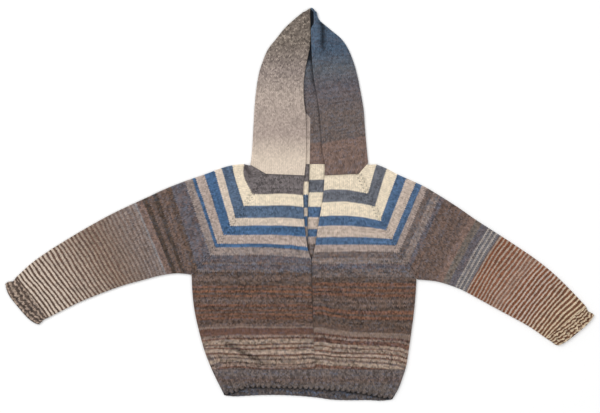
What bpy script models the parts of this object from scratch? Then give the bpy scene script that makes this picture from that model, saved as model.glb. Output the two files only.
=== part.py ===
"""A knitted, striped, hooded pullover lying flat on its back.

The garment is made of twelve pieces of knitted cloth, each its own object: two halves of the
front and of the back, two raglan sleeves, two halves of a pointed hood, a ribbed hem band in
front and behind, and two ribbed cuffs. The back pieces lie on the ground, the front pieces lie
on them, and the sleeves and hood halves are folded along their outer edges.

The garment frame: X runs to the right with 0 on the middle of the front, Y runs up the garment
with 0 at the lowest edge of the back hem, and Z is up with 0 on the ground. Sizes are in
millimetres until a mesh is made. "Left" and "right" are the viewer's.
"""

import math
from collections import namedtuple

import bmesh
import bpy
import numpy as np

# Driving sizes, in millimetres
MM = 0.001               # one millimetre in the scene's metres
SHEET = 2.5              # thickness of the knitted cloth
SEAM = 0.3               # gap between two pieces along a seam
LAY_GAP = 0.35           # air between two layers at an edge
LOFT = 2.2               # how much further the layers part in the middle of a piece
LOFT_REACH = 26.0        # distance from an edge over which the cloth rises
FOLD_REACH = 2.8         # distance from a fold's outermost line to its flat part
EDGE_WIDTH = 2.6         # width of the rounding along an edge
RIM_OUTLINE = 0.38       # share of the thickness left at a seam on the outline
RIM_FREE = 0.55          # the same at a free edge
RIM_SEAM = 0.84          # the same at a seam between two panels
NECK_FRONT_HEIGHT = 510.0  # top of the front's yoke
NECK_DIP = 3.5           # how far the front neck drops towards the slit
NECK_BACK_HEIGHT = 532.0  # top of the back's yoke
NECK_EASE = 80.0         # how far below the neck the rows still follow its dip
SLIT_FOOT = 316.0        # where the neck slit ends in a point
SLIT_SPREAD = 355.0      # where the slit has opened to its steady width
HEM_FRONT_TOP = 70.0     # seam between the front and its rib band
HEM_BACK_TOP = 50.0      # seam between the back and its rib band
HEM_CLEAR = 8.0          # below the front's edge the back band's ribs rise over this length
HOOD_TIP = 884.0         # highest point of the hood
RIB_PITCH = 13.5         # two plain and two purl stitches of the ribbing
RIB_RISE = 0.9           # how far a rib stands above its valley
SCALLOP = 1.6            # how far a valley's edge draws up between two ribs
CUFF_ROLL = 0.9          # how far the rolled end of a cuff stands up
CUFF_END_RIB = 0.4       # share of the ribs' height that is left on the rolled end
BOX_MIDDLE = (-24.2, 441.34)  # middle of the garment's own box, which becomes X = Y = 0

# A slanted seam is drawn back along X or along the neck by a little more or less than half the
# seam's gap, so that the gap measured straight across it is the same as elsewhere.
RAGLAN_GAP = 0.65 * SEAM
CORNER_GAP = 0.55 * SEAM

# Steps of the meshes
EDGE_STEP = 0.3          # where the rounding has a place of its own, as a share of its width
EDGE_STEP_RISE = 0.72    # how far the thickness has grown back there
FOLD_TURNS = (60.0, 20.0, -20.0, -60.0)  # places round a fold, in degrees above the level
RIB_STEPS = 4            # places to one rib
HOOD_ROWS = 18
BODY_COLUMNS = {"front": 12, "back": 7}
BODY_SPACING = {"front": 23.0, "back": 46.0}
SLEEVE_COLUMNS = (10, 5)
HOOD_COLUMNS = (9, 6)
CUFF_UNDER_COLUMNS = 7
HEM_LEVELS = {"front": (0.0, 0.14, 1.0), "back": (0.0, 0.2, 0.42, 1.0)}
HEM_EDGE_SHARE = 0.7     # share of the thickness left at a hem's lower edge
SHARP_ANGLE = 40.0       # edges that turn by more, in degrees, stay crisp

# Tables, a row for each section

# The body's outline and its middle seams, at each height.
BodyRow = namedtuple("BodyRow", "height left right front_seam back_seam")
BODY = [
    BodyRow(0, -188.5, 183.0, 11.0, 0.0),
    BodyRow(28, -202.0, 198.7, 10.5, -0.5),
    BodyRow(50, -213.0, 206.8, 10.3, -1.0),
    BodyRow(76, -224.8, 215.0, 10.0, -1.5),
    BodyRow(110, -237.9, 220.8, 8.5, -2.0),
    BodyRow(150, -249.3, 226.4, 6.8, -3.0),
    BodyRow(200, -260.6, 233.0, 5.2, -4.0),
    BodyRow(245, -266.0, 237.0, 3.8, -5.0),
    BodyRow(272.3, -267.2, 238.6, 3.0, -5.4),
    BodyRow(283.3, -267.5, 239.5, 2.8, -5.5),
    BodyRow(422, -267.5, 239.5, 2.0, -6.0),
    BodyRow(532, -267.5, 239.5, 2.0, -2.0),
    BodyRow(884, -267.5, 239.5, 2.0, 0.0),
]

# The raglan line between front and sleeve, from the neck down to the underarm.
RaglanRow = namedtuple("RaglanRow", "x height")
RAGLAN = {
    "left": [RaglanRow(-100.0, 510.0), RaglanRow(-225.0, 329.0), RaglanRow(-267.5, 283.3)],
    "right": [RaglanRow(108.0, 510.0), RaglanRow(158.0, 407.5), RaglanRow(238.6, 272.3)],
}

# The neck slit and, above the neck, the hood's two face edges.
SlitRow = namedtuple("SlitRow", "height left right")
SLIT = [
    SlitRow(SLIT_FOOT, 2.2, 2.6),
    SlitRow(325, -0.8, 4.6),
    SlitRow(339, -5.5, 8.5),
    SlitRow(355, -8.0, 11.5),
    SlitRow(392, -13.0, 17.0),
    SlitRow(435, -15.0, 24.5),
    SlitRow(470, -16.5, 29.0),
    SlitRow(506, -13.5, 31.5),
    SlitRow(532, -10.5, 32.0),
    SlitRow(558, -9.5, 27.0),
    SlitRow(596, -9.5, 24.0),
    SlitRow(643, -10.5, 20.5),
    SlitRow(682, -15.0, 15.0),
    SlitRow(720, -14.5, 8.0),
    SlitRow(757, -9.0, 4.0),
    SlitRow(798, -0.6, 1.6),
    SlitRow(HOOD_TIP, -0.6, 0.6),
]

# A sleeve's rows of knitting: where each meets the fold along the top and the raglan line.
CapRow = namedtuple("CapRow", "fold_x fold_y seam_height")
CAP = {
    "left": [
        CapRow(-149.5, 532.0, 465.0),
        CapRow(-175.0, 529.3, 438.0),
        CapRow(-200.0, 523.0, 411.0),
        CapRow(-236.8, 509.2, 374.5),
        CapRow(-282.3, 493.6, 329.0),
        CapRow(-327.8, 475.8, 283.3),
    ],
    "right": [
        CapRow(148.5, 531.5, 466.0),
        CapRow(171.8, 521.7, 436.5),
        CapRow(195.3, 509.2, 407.5),
        CapRow(237.0, 490.6, 364.0),
        CapRow(267.5, 475.2, 333.0),
        CapRow(327.5, 437.7, 272.3),
    ],
}

# Below the underarm: where each row meets the fold and the underarm seam.
ArmRow = namedtuple("ArmRow", "fold_x fold_y seam_x seam_y")
ARM = {
    "left": [
        ArmRow(-370.0, 456.0, -303.0, 286.0),
        ArmRow(-411.5, 437.0, -340.4, 280.5),
        ArmRow(-454.0, 416.3, -377.6, 270.8),
        ArmRow(-503.2, 389.0, -423.0, 258.3),
        ArmRow(-549.8, 361.3, -469.0, 241.8),
        ArmRow(-592.8, 334.2, -512.7, 224.3),
        ArmRow(-629.7, 307.6, -550.3, 206.5),
        ArmRow(-662.8, 277.3, -592.0, 185.5),
    ],
    "right": [
        ArmRow(371.0, 407.5, 287.0, 267.0),
        ArmRow(419.5, 376.3, 335.8, 251.0),
        ArmRow(463.0, 348.0, 372.8, 231.6),
        ArmRow(505.5, 318.9, 410.6, 210.8),
        ArmRow(543.9, 288.5, 452.5, 188.3),
        ArmRow(581.3, 252.8, 494.1, 165.0),
        ArmRow(620.2, 211.7, 530.6, 139.8),
    ],
}

# A cuff's rows, from the sleeve to its rolled end. Bow is how far the row's middle runs ahead.
CuffRow = namedtuple("CuffRow", "fold_x fold_y seam_x seam_y bow")
CUFF = {
    "left": [
        CuffRow(-662.8, 277.3, -592.0, 185.5, 0.0),
        CuffRow(-669.2, 269.0, -600.2, 181.8, 3.5),
        CuffRow(-680.4, 267.0, -605.2, 176.8, 7.0),
        CuffRow(-687.8, 261.8, -611.5, 171.2, 10.5),
    ],
    "right": [
        CuffRow(620.2, 211.7, 530.6, 139.8, 0.0),
        CuffRow(625.2, 200.7, 542.5, 132.2, 2.0),
        CuffRow(633.2, 196.8, 549.5, 126.6, 4.0),
        CuffRow(639.4, 192.0, 556.5, 123.5, 6.2),
    ],
}

# The hood's outer fold and the height at which the same row meets the face edge.
HoodRow = namedtuple("HoodRow", "fold_x fold_y edge_height")
HOOD = {
    "left": [
        HoodRow(-133.6, 540.0, 541.0),
        HoodRow(-131.0, 570.0, 570.0),
        HoodRow(-128.7, 612.0, 612.0),
        HoodRow(-126.3, 656.0, 656.0),
        HoodRow(-122.1, 700.0, 700.0),
        HoodRow(-116.0, 736.0, 736.0),
        HoodRow(-108.0, 762.0, 764.0),
        HoodRow(-96.0, 790.0, 796.0),
        HoodRow(-77.4, 814.0, 824.0),
        HoodRow(-57.0, 839.0, 848.0),
        HoodRow(-36.3, 858.2, 867.0),
        HoodRow(-15.8, 875.0, 883.0),
    ],
    "right": [
        HoodRow(129.3, 540.0, 541.0),
        HoodRow(126.2, 570.0, 570.0),
        HoodRow(122.8, 612.0, 612.0),
        HoodRow(119.4, 656.0, 656.0),
        HoodRow(111.8, 700.0, 700.0),
        HoodRow(104.3, 736.3, 736.0),
        HoodRow(96.6, 762.3, 764.0),
        HoodRow(85.4, 790.2, 796.0),
        HoodRow(69.9, 813.5, 824.0),
        HoodRow(46.4, 833.6, 846.0),
        HoodRow(25.3, 852.3, 866.0),
        HoodRow(14.1, 874.4, 883.5),
    ],
}

# Where hood, sleeve and shoulder meet, and which way the two folds run out from there.
NeckCorner = namedtuple("NeckCorner", "x height hood_way sleeve_way back_raglan_x slit_x")
NECK = {
    "left": NeckCorner(-133.0, 529.2, (-0.95, 0.31), (-0.96, -0.28), -104.0, -13.0),
    "right": NeckCorner(126.8, 531.2, (0.95, 0.31), (0.96, -0.28), 111.0, 31.0),
}

# The lower edges of the two hem bands across the garment.
HemRow = namedtuple("HemRow", "x front back")
HEM = [
    HemRow(-192.0, 13.0, 11.0),
    HemRow(-172.0, 17.0, 9.0),
    HemRow(-149.5, 26.5, 10.0),
    HemRow(-100.0, 28.0, 12.0),
    HemRow(-20.0, 26.0, 9.5),
    HemRow(16.0, 24.0, 6.0),
    HemRow(46.0, 22.5, 1.8),
    HemRow(90.0, 18.5, 0.2),
    HemRow(131.0, 12.5, 0.5),
    HemRow(160.0, 6.0, -0.8),
    HemRow(185.0, 3.5, 2.0),
]

# Soft folds of the upper layer, each a ridge (or, with a negative rise, a trough) from one
# point to another.
Fold = namedtuple("Fold", "x0 y0 x1 y1 half_width rise")
FOLDS = [
    Fold(-160.0, 120.0, -96.0, 72.0, 20.0, 1.4),
    Fold(-120.0, 118.0, -60.0, 84.0, 14.0, -0.8),
    Fold(96.0, 130.0, 190.0, 90.0, 20.0, 1.2),
    Fold(9.5, 880.0, 11.0, 786.0, 8.5, 2.0),
    Fold(23.0, 846.0, 26.0, 770.0, 7.0, -1.4),
    Fold(-96.0, 700.0, -84.0, 560.0, 24.0, 1.1),
    Fold(70.0, 720.0, 86.0, 575.0, 24.0, 1.1),
    Fold(-262.0, 300.0, -222.0, 410.0, 18.0, 1.3),
    Fold(-290.0, 300.0, -300.0, 420.0, 16.0, -0.9),
    Fold(236.0, 290.0, 214.0, 400.0, 18.0, 1.3),
    Fold(282.0, 285.0, 300.0, 400.0, 16.0, -0.9),
    Fold(-520.0, 330.0, -440.0, 350.0, 20.0, 1.0),
    Fold(470.0, 270.0, 400.0, 310.0, 20.0, 1.0),
]

# Colours and surface of each piece: red, green, blue and roughness.
Finish = namedtuple("Finish", "red green blue roughness")
FINISHES = {
    "back_left": Finish(0.15, 0.17, 0.21, 0.95),
    "back_right": Finish(0.17, 0.15, 0.14, 0.95),
    "front_left": Finish(0.17, 0.13, 0.11, 0.95),
    "front_right": Finish(0.20, 0.13, 0.09, 0.95),
    "sleeve_left": Finish(0.23, 0.17, 0.14, 0.95),
    "sleeve_right": Finish(0.30, 0.20, 0.14, 0.95),
    "hood_left": Finish(0.42, 0.36, 0.31, 0.95),
    "hood_right": Finish(0.13, 0.12, 0.12, 0.95),
    "hem_back": Finish(0.14, 0.12, 0.11, 0.95),
    "hem_front": Finish(0.15, 0.13, 0.12, 0.95),
    "cuff_left": Finish(0.22, 0.17, 0.14, 0.95),
    "cuff_right": Finish(0.28, 0.19, 0.14, 0.95),
}


def column(table, name):
    """One named column of a table, as an array."""
    return np.array([getattr(row, name) for row in table], float)


def plan_points(table, x_name, y_name):
    """Two named columns of a table, as plan points."""
    return np.stack([column(table, x_name), column(table, y_name)], axis=1)


def smooth(knots, values, at):
    """A smooth curve through values at rising knots, read at some places: a cubic between each
    two knots, whose slopes at the knots are those of the line between their neighbours."""
    knots = np.asarray(knots, float)
    values = np.asarray(values, float)
    at = np.clip(np.asarray(at, float), knots[0], knots[-1])
    slopes = np.gradient(values, knots)
    low = np.clip(np.searchsorted(knots, at, side="right") - 1, 0, len(knots) - 2)
    span = knots[low + 1] - knots[low]
    t = (at - knots[low]) / span
    start = (1 + 2 * t) * (1 - t) ** 2 * values[low]
    leave = t * (1 - t) ** 2 * span * slopes[low]
    end = t**2 * (3 - 2 * t) * values[low + 1]
    reach = t**2 * (t - 1) * span * slopes[low + 1]
    return start + leave + end + reach


def mix(a, b, share):
    return a + (b - a) * share


def smooth_points(knots, points, at):
    """A smooth run through plan points at rising knots, read at some places."""
    return np.stack([smooth(knots, points[:, 0], at), smooth(knots, points[:, 1], at)], axis=1)


def resample(points, count):
    """A smooth run of plan points, read at evenly spaced places along it."""
    points = np.asarray(points, float)
    steps = np.linalg.norm(np.diff(points, axis=0), axis=1)
    place = np.concatenate([[0.0], np.cumsum(steps)])
    return smooth_points(place, points, np.linspace(0, place[-1], count))


def toward(points, goal, step):
    """Each plan point moved by a step towards its goal."""
    way = goal - points
    return points + way / np.linalg.norm(way, axis=1)[:, None] * step


def sign_of(side):
    return -1.0 if side == "left" else 1.0


def body_side(side, height):
    return smooth(column(BODY, "height"), column(BODY, side), height)


def middle_x(layer, height):
    """The middle seam of the front or back."""
    return smooth(column(BODY, "height"), column(BODY, layer + "_seam"), height)


def slit_x(side, height):
    return smooth(column(SLIT, "height"), column(SLIT, side), height)


def raglan_x(side, height, rise=1.0):
    """The raglan line's X at a height. On the back the line is stretched upwards by rise."""
    rows = RAGLAN[side][::-1]
    foot = rows[0].height
    heights = foot + (column(rows, "height") - foot) * rise
    return np.interp(height, heights, column(rows, "x"))


def raglan_rise(side, layer):
    """How much taller the layer's raglan line is than the front's."""
    foot = RAGLAN[side][-1].height
    return 1.0 if layer == "front" else (NECK_BACK_HEIGHT - foot) / (NECK_FRONT_HEIGHT - foot)


def neck_height(side, layer, x):
    """The neck seam's height at X: nearly level across the yoke, then to the shoulder corner."""
    corner = NECK[side]
    if layer == "front":
        top = RAGLAN[side][0]
        knots = [abs(corner.slit_x), abs(top.x), abs(corner.x)]
        heights = [NECK_FRONT_HEIGHT - NECK_DIP, top.height, corner.height]
    else:
        knots = [abs(corner.back_raglan_x), abs(corner.x)]
        heights = [NECK_BACK_HEIGHT, corner.height]
    return np.interp(np.abs(x), knots, heights)


def edge_lines():
    """Runs of plan points along every edge where the upper layer comes down to the lower."""
    runs = []
    side_heights = np.linspace(12.0, 272.0, 30)
    face_heights = np.linspace(SLIT_FOOT, HOOD_TIP, 40)
    for side in ("left", "right"):
        corner = NECK[side]
        foot = RAGLAN[side][-1]
        cap_fold = plan_points(CAP[side], "fold_x", "fold_y")
        arm_fold = plan_points(ARM[side], "fold_x", "fold_y")
        arm_seam = plan_points(ARM[side], "seam_x", "seam_y")
        hood_fold = plan_points(HOOD[side], "fold_x", "fold_y")
        cuff_fold = plan_points(CUFF[side], "fold_x", "fold_y")
        cuff_seam = plan_points(CUFF[side], "seam_x", "seam_y")
        runs.append(np.stack([body_side(side, side_heights), side_heights], axis=1))
        runs.append(np.stack([slit_x(side, face_heights), face_heights], axis=1))
        runs.append(resample(np.concatenate([cap_fold, arm_fold]), 60))
        runs.append(resample(np.concatenate([[(foot.x, foot.height)], arm_seam]), 40))
        runs.append(resample(np.concatenate([[(corner.x, corner.height)], hood_fold]), 40))
        runs += [cuff_fold, cuff_seam, np.stack([cuff_fold[-1], cuff_seam[-1]])]
    runs.append(plan_points(HEM, "x", "front"))
    return runs


EDGE_RUNS = edge_lines()


def edge_distance(xy):
    """Distance from each plan point to the nearest of the straight pieces of the edge lines."""
    flat = xy.reshape(-1, 2)
    best = np.full(len(flat), np.inf)
    for run in EDGE_RUNS:
        for start, end in zip(run[:-1], run[1:]):
            way = end - start
            share = np.clip((flat - start) @ way / (way @ way), 0, 1)
            gap = np.linalg.norm(flat - start - share[:, None] * way, axis=1)
            best = np.minimum(best, gap)
    return best.reshape(xy.shape[:-1])


def fold_rise(xy):
    """Sum of the soft folds: a round-topped bump across each line, fading towards its ends."""
    total = np.zeros(xy.shape[:-1])
    for fold in FOLDS:
        start = np.array([fold.x0, fold.y0])
        way = np.array([fold.x1, fold.y1]) - start
        share = (xy - start) @ way / (way @ way)
        gap = np.linalg.norm(xy - start - share[..., None] * way, axis=-1)
        across = np.cos(np.clip(gap / fold.half_width, 0, 1) * math.pi / 2) ** 2
        ends = np.cos(np.clip(np.abs(share * 2 - 1), 0, 1) * math.pi / 2)
        total += fold.rise * across * np.sqrt(ends)
    return total


def upper_underside(xy):
    """Height of the upper layer's underside: it parts from the lower layer away from edges."""
    away = 1 - np.exp(-edge_distance(xy) / LOFT_REACH)
    return SHEET + LAY_GAP + np.maximum(LOFT + fold_rise(xy), 0) * away


def ribs(places, count):
    """Height of the ribbing, from 0 in a valley to 1 on a rib, for places from 0 to 1."""
    return 0.5 - 0.5 * np.cos(places * count * 2 * math.pi)


def make_object(name, points, faces):
    """Makes the mesh object with its finish, moved so that the garment's box is centred."""
    place = points - np.array([BOX_MIDDLE[0], BOX_MIDDLE[1], 0.0])
    mesh = bpy.data.meshes.new(name)
    mesh.from_pydata((place * MM).tolist(), [], faces)
    shape = bmesh.new()
    shape.from_mesh(mesh)
    bmesh.ops.recalc_face_normals(shape, faces=shape.faces)
    shape.to_mesh(mesh)
    shape.free()
    mesh.shade_smooth()
    mesh.set_sharp_from_angle(angle=math.radians(SHARP_ANGLE))
    piece = bpy.data.objects.new(name, mesh)
    bpy.context.scene.collection.objects.link(piece)
    finish = FINISHES[name]
    material = bpy.data.materials.new(name + "_knit")
    material.use_nodes = True
    shader = material.node_tree.nodes["Principled BSDF"]
    shader.inputs["Base Color"].default_value = (finish.red, finish.green, finish.blue, 1.0)
    shader.inputs["Roughness"].default_value = finish.roughness
    shader.inputs["Metallic"].default_value = 0.0
    mesh.materials.append(material)


def wall(name, outer, inner):
    """A closed wall between two grids of points, with a rim all round."""
    rows, columns = outer.shape[:2]
    points = np.concatenate([outer.reshape(-1, 3), inner.reshape(-1, 3)])
    over = np.arange(rows * columns).reshape(rows, columns)
    under = over + rows * columns
    faces = []
    for r in range(rows - 1):
        for c in range(columns - 1):
            faces.append((over[r, c], over[r, c + 1], over[r + 1, c + 1], over[r + 1, c]))
            faces.append((under[r, c], under[r + 1, c], under[r + 1, c + 1], under[r, c + 1]))
    border = [(0, c) for c in range(columns)]
    border += [(r, columns - 1) for r in range(1, rows)]
    border += [(rows - 1, c) for c in range(columns - 2, -1, -1)]
    border += [(r, 0) for r in range(rows - 2, 0, -1)]
    for here, after in zip(border, border[1:] + border[:1]):
        faces.append((over[after], over[here], under[here], under[after]))
    make_object(name, points, np.array(faces).tolist())


def rim_steps(length, middle_count, first, last=None, stop_at=None):
    """Places across a row and how thick the cloth is there, as a share of the sheet.

    First and last are the thickness shares at the two ends, and the last end stays square where
    none is given. One place falls on stop_at, where that is given.
    """
    stop = length if last is None else length - EDGE_WIDTH
    middle = np.linspace(EDGE_WIDTH, stop, middle_count)
    if stop_at is not None:
        before = max(2, round(middle_count * (stop_at - EDGE_WIDTH) / (stop - EDGE_WIDTH)))
        after = np.linspace(stop_at, stop, middle_count - before + 1)
        middle = np.concatenate([np.linspace(EDGE_WIDTH, stop_at, before), after[1:]])
    places = [0.0, EDGE_WIDTH * EDGE_STEP] + list(middle)
    shares = [first, mix(first, 1.0, EDGE_STEP_RISE)] + [1.0] * middle_count
    if last is not None:
        places += [length - EDGE_WIDTH * EDGE_STEP, length]
        shares += [mix(last, 1.0, EDGE_STEP_RISE), last]
    return np.array(places), np.array(shares)


def body_heights(side, layer):
    """The heights of a body panel's rows, with one on each corner of its outline."""
    foot = RAGLAN[side][-1].height
    bend = foot + (RAGLAN[side][1].height - foot) * raglan_rise(side, layer)
    if layer == "front":
        low, top = HEM_FRONT_TOP + SEAM / 2, NECK_FRONT_HEIGHT - SEAM / 2
        stops = sorted({low, foot, SLIT_FOOT, SLIT_SPREAD, bend, top})
    else:
        low, top = HEM_BACK_TOP + SEAM / 2, NECK_BACK_HEIGHT - SEAM / 2
        stops = [low, foot, bend, top]
    heights = []
    for start, end in zip(stops[:-1], stops[1:]):
        count = max(1, round((end - start) / BODY_SPACING[layer]))
        heights += list(np.linspace(start, end, count + 1)[:-1])
    return np.array(heights + [top])


def body_panel(side, layer):
    """A half of the front or back: rows across, from the side or raglan line to the middle."""
    heights = body_heights(side, layer)
    foot = RAGLAN[side][-1].height
    yoke_end = abs(RAGLAN[side][0].x if layer == "front" else NECK[side].back_raglan_x)
    plan = []
    shares = []
    for height in heights:
        if height < foot:
            outer_x = body_side(side, height)
            outer_rim = RIM_OUTLINE
        else:
            outer_x = raglan_x(side, height, raglan_rise(side, layer)) - sign_of(side) * RAGLAN_GAP
            outer_rim = RIM_SEAM
        slit = layer == "front" and height > SLIT_FOOT
        inner_x = slit_x(side, height) if slit else middle_x(layer, height)
        inner_x += sign_of(side) * SEAM / 2
        inner_rim = RIM_FREE if slit else RIM_SEAM
        places, row_shares = rim_steps(
            abs(outer_x - inner_x), BODY_COLUMNS[layer], outer_rim, inner_rim
        )
        across = outer_x - sign_of(side) * places
        bend = np.clip(1 - (heights[-1] - height) / NECK_EASE, 0, 1) ** 2
        within = np.minimum(np.abs(across), yoke_end)
        dip = neck_height(side, layer, within) - SEAM / 2 - heights[-1]
        plan.append(np.stack([across, height + dip * bend], axis=1))
        shares.append(row_shares)
    plan = np.array(plan)
    shares = np.array(shares)
    if layer == "front":
        low = upper_underside(plan)
        outer = np.dstack([plan, low + SHEET * shares])
        inner = np.dstack([plan, low])
    else:
        outer = np.dstack([plan, SHEET * (1 - shares)])
        inner = np.dstack([plan, np.full(shares.shape, SHEET)])
    wall(f"{layer}_{side}", outer, inner)


def folded_row(upper, thick, lower, under, base, tip):
    """One row's outer and inner points: the upper layer, round the fold, and the lower layer.

    Thick is the upper layer's thickness at each of its plan points, and under is the height of
    the lower layer's underside at its own. The fold is half an ellipse in a standing plane, from
    base, where both layers end, out to tip.
    """
    low = upper_underside(upper)
    middle = (low[-1] + thick[-1]) / 2
    bore = (low[-1] - SHEET) / 2
    turns = np.radians(FOLD_TURNS)
    reach = np.cos(turns)[:, None] * (tip - base)
    round_outer = np.column_stack([base + reach, middle + middle * np.sin(turns)])
    round_inner = np.column_stack([base + reach * bore / middle, SHEET + bore + bore * np.sin(turns)])
    level = np.full(len(lower), SHEET)
    outer = [np.column_stack([upper, low + thick]), round_outer, np.column_stack([lower, under])]
    inner = [np.column_stack([upper, low]), round_inner, np.column_stack([lower, level])]
    return np.concatenate(outer), np.concatenate(inner)


def folded_wall(name, tip, base, ends, rims, counts, neck=None, corners=(None, None)):
    """A wall folded along one line, with an upper and a lower layer.

    Each row is given by plan points: tip is the outermost point of the fold, base is where its
    flat part starts, and ends are the ends of the upper and of the lower layer. Rims are the
    thickness shares left at those ends. Where a side is given as neck, the first row follows the
    neck seams of that side, and corners are the X of the raglan lines, where it has a place.
    """
    outer = []
    inner = []
    for r in range(len(tip)):
        runs = []
        for which, layer in enumerate(("front", "back")):
            end = ends[which][r]
            reach = np.linalg.norm(base[r] - end)
            stop_at = None
            if neck is not None:
                stop_at = reach * (corners[which] - ends[which][0][0]) / (base[0][0] - ends[which][0][0])
            places, shares = rim_steps(reach, counts[which], rims[which][r], stop_at=stop_at)
            run = end + (base[r] - end) * (places / reach)[:, None]
            if neck is not None and r == 0:
                run[:, 1] = neck_height(neck, layer, run[:, 0]) + SEAM / 2
            runs.append((run, shares))
        (upper, upper_shares), (lower, lower_shares) = runs
        under = SHEET * (1 - lower_shares[::-1])
        row = folded_row(upper, SHEET * upper_shares, lower[::-1], under, base[r], tip[r])
        outer.append(row[0])
        inner.append(row[1])
    wall(name, np.array(outer), np.array(inner))


def sleeve(side):
    """A raglan sleeve: the cap's rows end on the raglan lines, the arm's at the underarm seam."""
    cap = CAP[side]
    arm = ARM[side]
    corner = NECK[side]
    foot = RAGLAN[side][-1]
    arm_steps = np.arange(1, 2 * len(arm) + 1) / 2
    folds = np.concatenate(
        [plan_points(cap, "fold_x", "fold_y"), plan_points(arm, "fold_x", "fold_y")]
    )
    steps = np.concatenate([np.arange(len(cap)), len(cap) - 1 + arm_steps])
    tip = smooth_points(np.arange(len(folds)), folds, steps)
    seams = np.concatenate([[(foot.x, foot.height)], plan_points(arm, "seam_x", "seam_y")])
    underarm = smooth_points(np.arange(len(seams)), seams, arm_steps)
    ends = []
    for layer in ("front", "back"):
        rise = raglan_rise(side, layer)
        heights = foot.height + (column(cap, "seam_height") - foot.height) * rise
        raglan = np.stack([raglan_x(side, heights, rise), heights], axis=1)
        ends.append(np.concatenate([raglan, underarm]))
    base = toward(tip, ends[0], FOLD_REACH)
    ends = [toward(end, base, RAGLAN_GAP) for end in ends]

    # The first row runs along the neck seam, from the shoulder corner to the raglan's top.
    start = np.array([corner.x, corner.height - CORNER_GAP])
    tops = [(RAGLAN[side][0].x, RAGLAN[side][0].height), (corner.back_raglan_x, NECK_BACK_HEIGHT)]
    aside = np.array([sign_of(side) * SEAM, -CORNER_GAP])
    tip = np.concatenate([[start + FOLD_REACH * np.array(corner.sleeve_way)], tip])
    base = np.concatenate([[start], base])
    ends = [np.concatenate([[top + aside], end]) for top, end in zip(np.array(tops), ends)]

    # The last row is drawn back from the cuff by half the seam's gap.
    back_way = toward(tip[-1:], tip[-2:-1], SEAM / 2)[0] - tip[-1]
    for run in (tip, base, *ends):
        run[-1] += back_way
    rim = [RIM_SEAM] * len(cap) + [RIM_OUTLINE] * (len(tip) - len(cap))
    folded_wall("sleeve_" + side, tip, base, ends, (rim, rim), SLEEVE_COLUMNS)


def cuff(side):
    """A ribbed cuff: its rows bow towards the hand, and the last one is rolled."""
    rows = CUFF[side]
    tip = plan_points(rows, "fold_x", "fold_y")
    seam = plan_points(rows, "seam_x", "seam_y")
    base = toward(tip, seam, FOLD_REACH)
    seam = toward(seam, base, SEAM / 2)
    arm_fold = plan_points(ARM[side][-2:], "fold_x", "fold_y")
    ahead = toward(arm_fold[:1], arm_fold[1:], 1.0)[0] - arm_fold[0]
    count = round(np.linalg.norm(tip[0] - seam[0]) / RIB_PITCH)
    share = np.linspace(0, 1, RIB_STEPS * count + 1)
    under_share = np.linspace(1, 0, CUFF_UNDER_COLUMNS)
    full = np.clip(share * len(share) / 2, 0, 1)
    under = SHEET * (1 - RIM_OUTLINE) * (under_share == 0)
    outer = []
    inner = []
    for r, row in enumerate(rows):
        is_end = r == len(rows) - 1
        raised = RIB_RISE * ribs(share, count) * (CUFF_END_RIB if is_end else 1.0)
        raised += CUFF_ROLL if is_end else 0.0
        thick = SHEET * mix(RIM_OUTLINE, 1.0, full) + raised * full
        runs = []
        for places in (share, under_share):
            bow = ahead * row.bow * (1 - (2 * places - 1) ** 4)[:, None]
            runs.append(seam[r] + (base[r] - seam[r]) * places[:, None] + bow)
        points = folded_row(runs[0], thick, runs[1], under, base[r], tip[r])
        outer.append(points[0])
        inner.append(points[1])
    wall("cuff_" + side, np.array(outer), np.array(inner))


def hood(side):
    """A hood half: from the face edge out to the fold, round it and back to the middle seam."""
    corner = NECK[side]
    rows = HOOD[side]
    steps = np.linspace(0, len(rows) - 1, HOOD_ROWS)
    numbers = np.arange(len(rows))
    tip = smooth_points(numbers, plan_points(rows, "fold_x", "fold_y"), steps)
    edge = smooth(numbers, column(rows, "edge_height"), steps)
    first_base = np.array([corner.x, corner.height + CORNER_GAP])
    first_tip = first_base + FOLD_REACH * np.array(corner.hood_way)
    face_heights = np.concatenate([[neck_height(side, "front", corner.slit_x) + SEAM / 2], edge])
    seam_heights = np.concatenate([[NECK_BACK_HEIGHT + SEAM / 2], edge])
    face = np.stack([slit_x(side, face_heights), face_heights], axis=1)
    seam = np.stack([middle_x("back", seam_heights), seam_heights], axis=1)
    ends = [face + (sign_of(side) * SEAM / 2, 0.0), seam + (sign_of(side) * SEAM / 2, 0.0)]
    level = np.stack([ends[1][1:, 0], tip[:, 1]], axis=1)
    base = np.concatenate([[first_base], toward(tip, level, FOLD_REACH)])
    tip = np.concatenate([[first_tip], tip])
    rims = ([RIM_FREE] * len(tip), [RIM_SEAM] * len(tip))
    corners = (RAGLAN[side][0].x, corner.back_raglan_x)
    folded_wall("hood_" + side, tip, base, ends, rims, HOOD_COLUMNS, side, corners)


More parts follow.
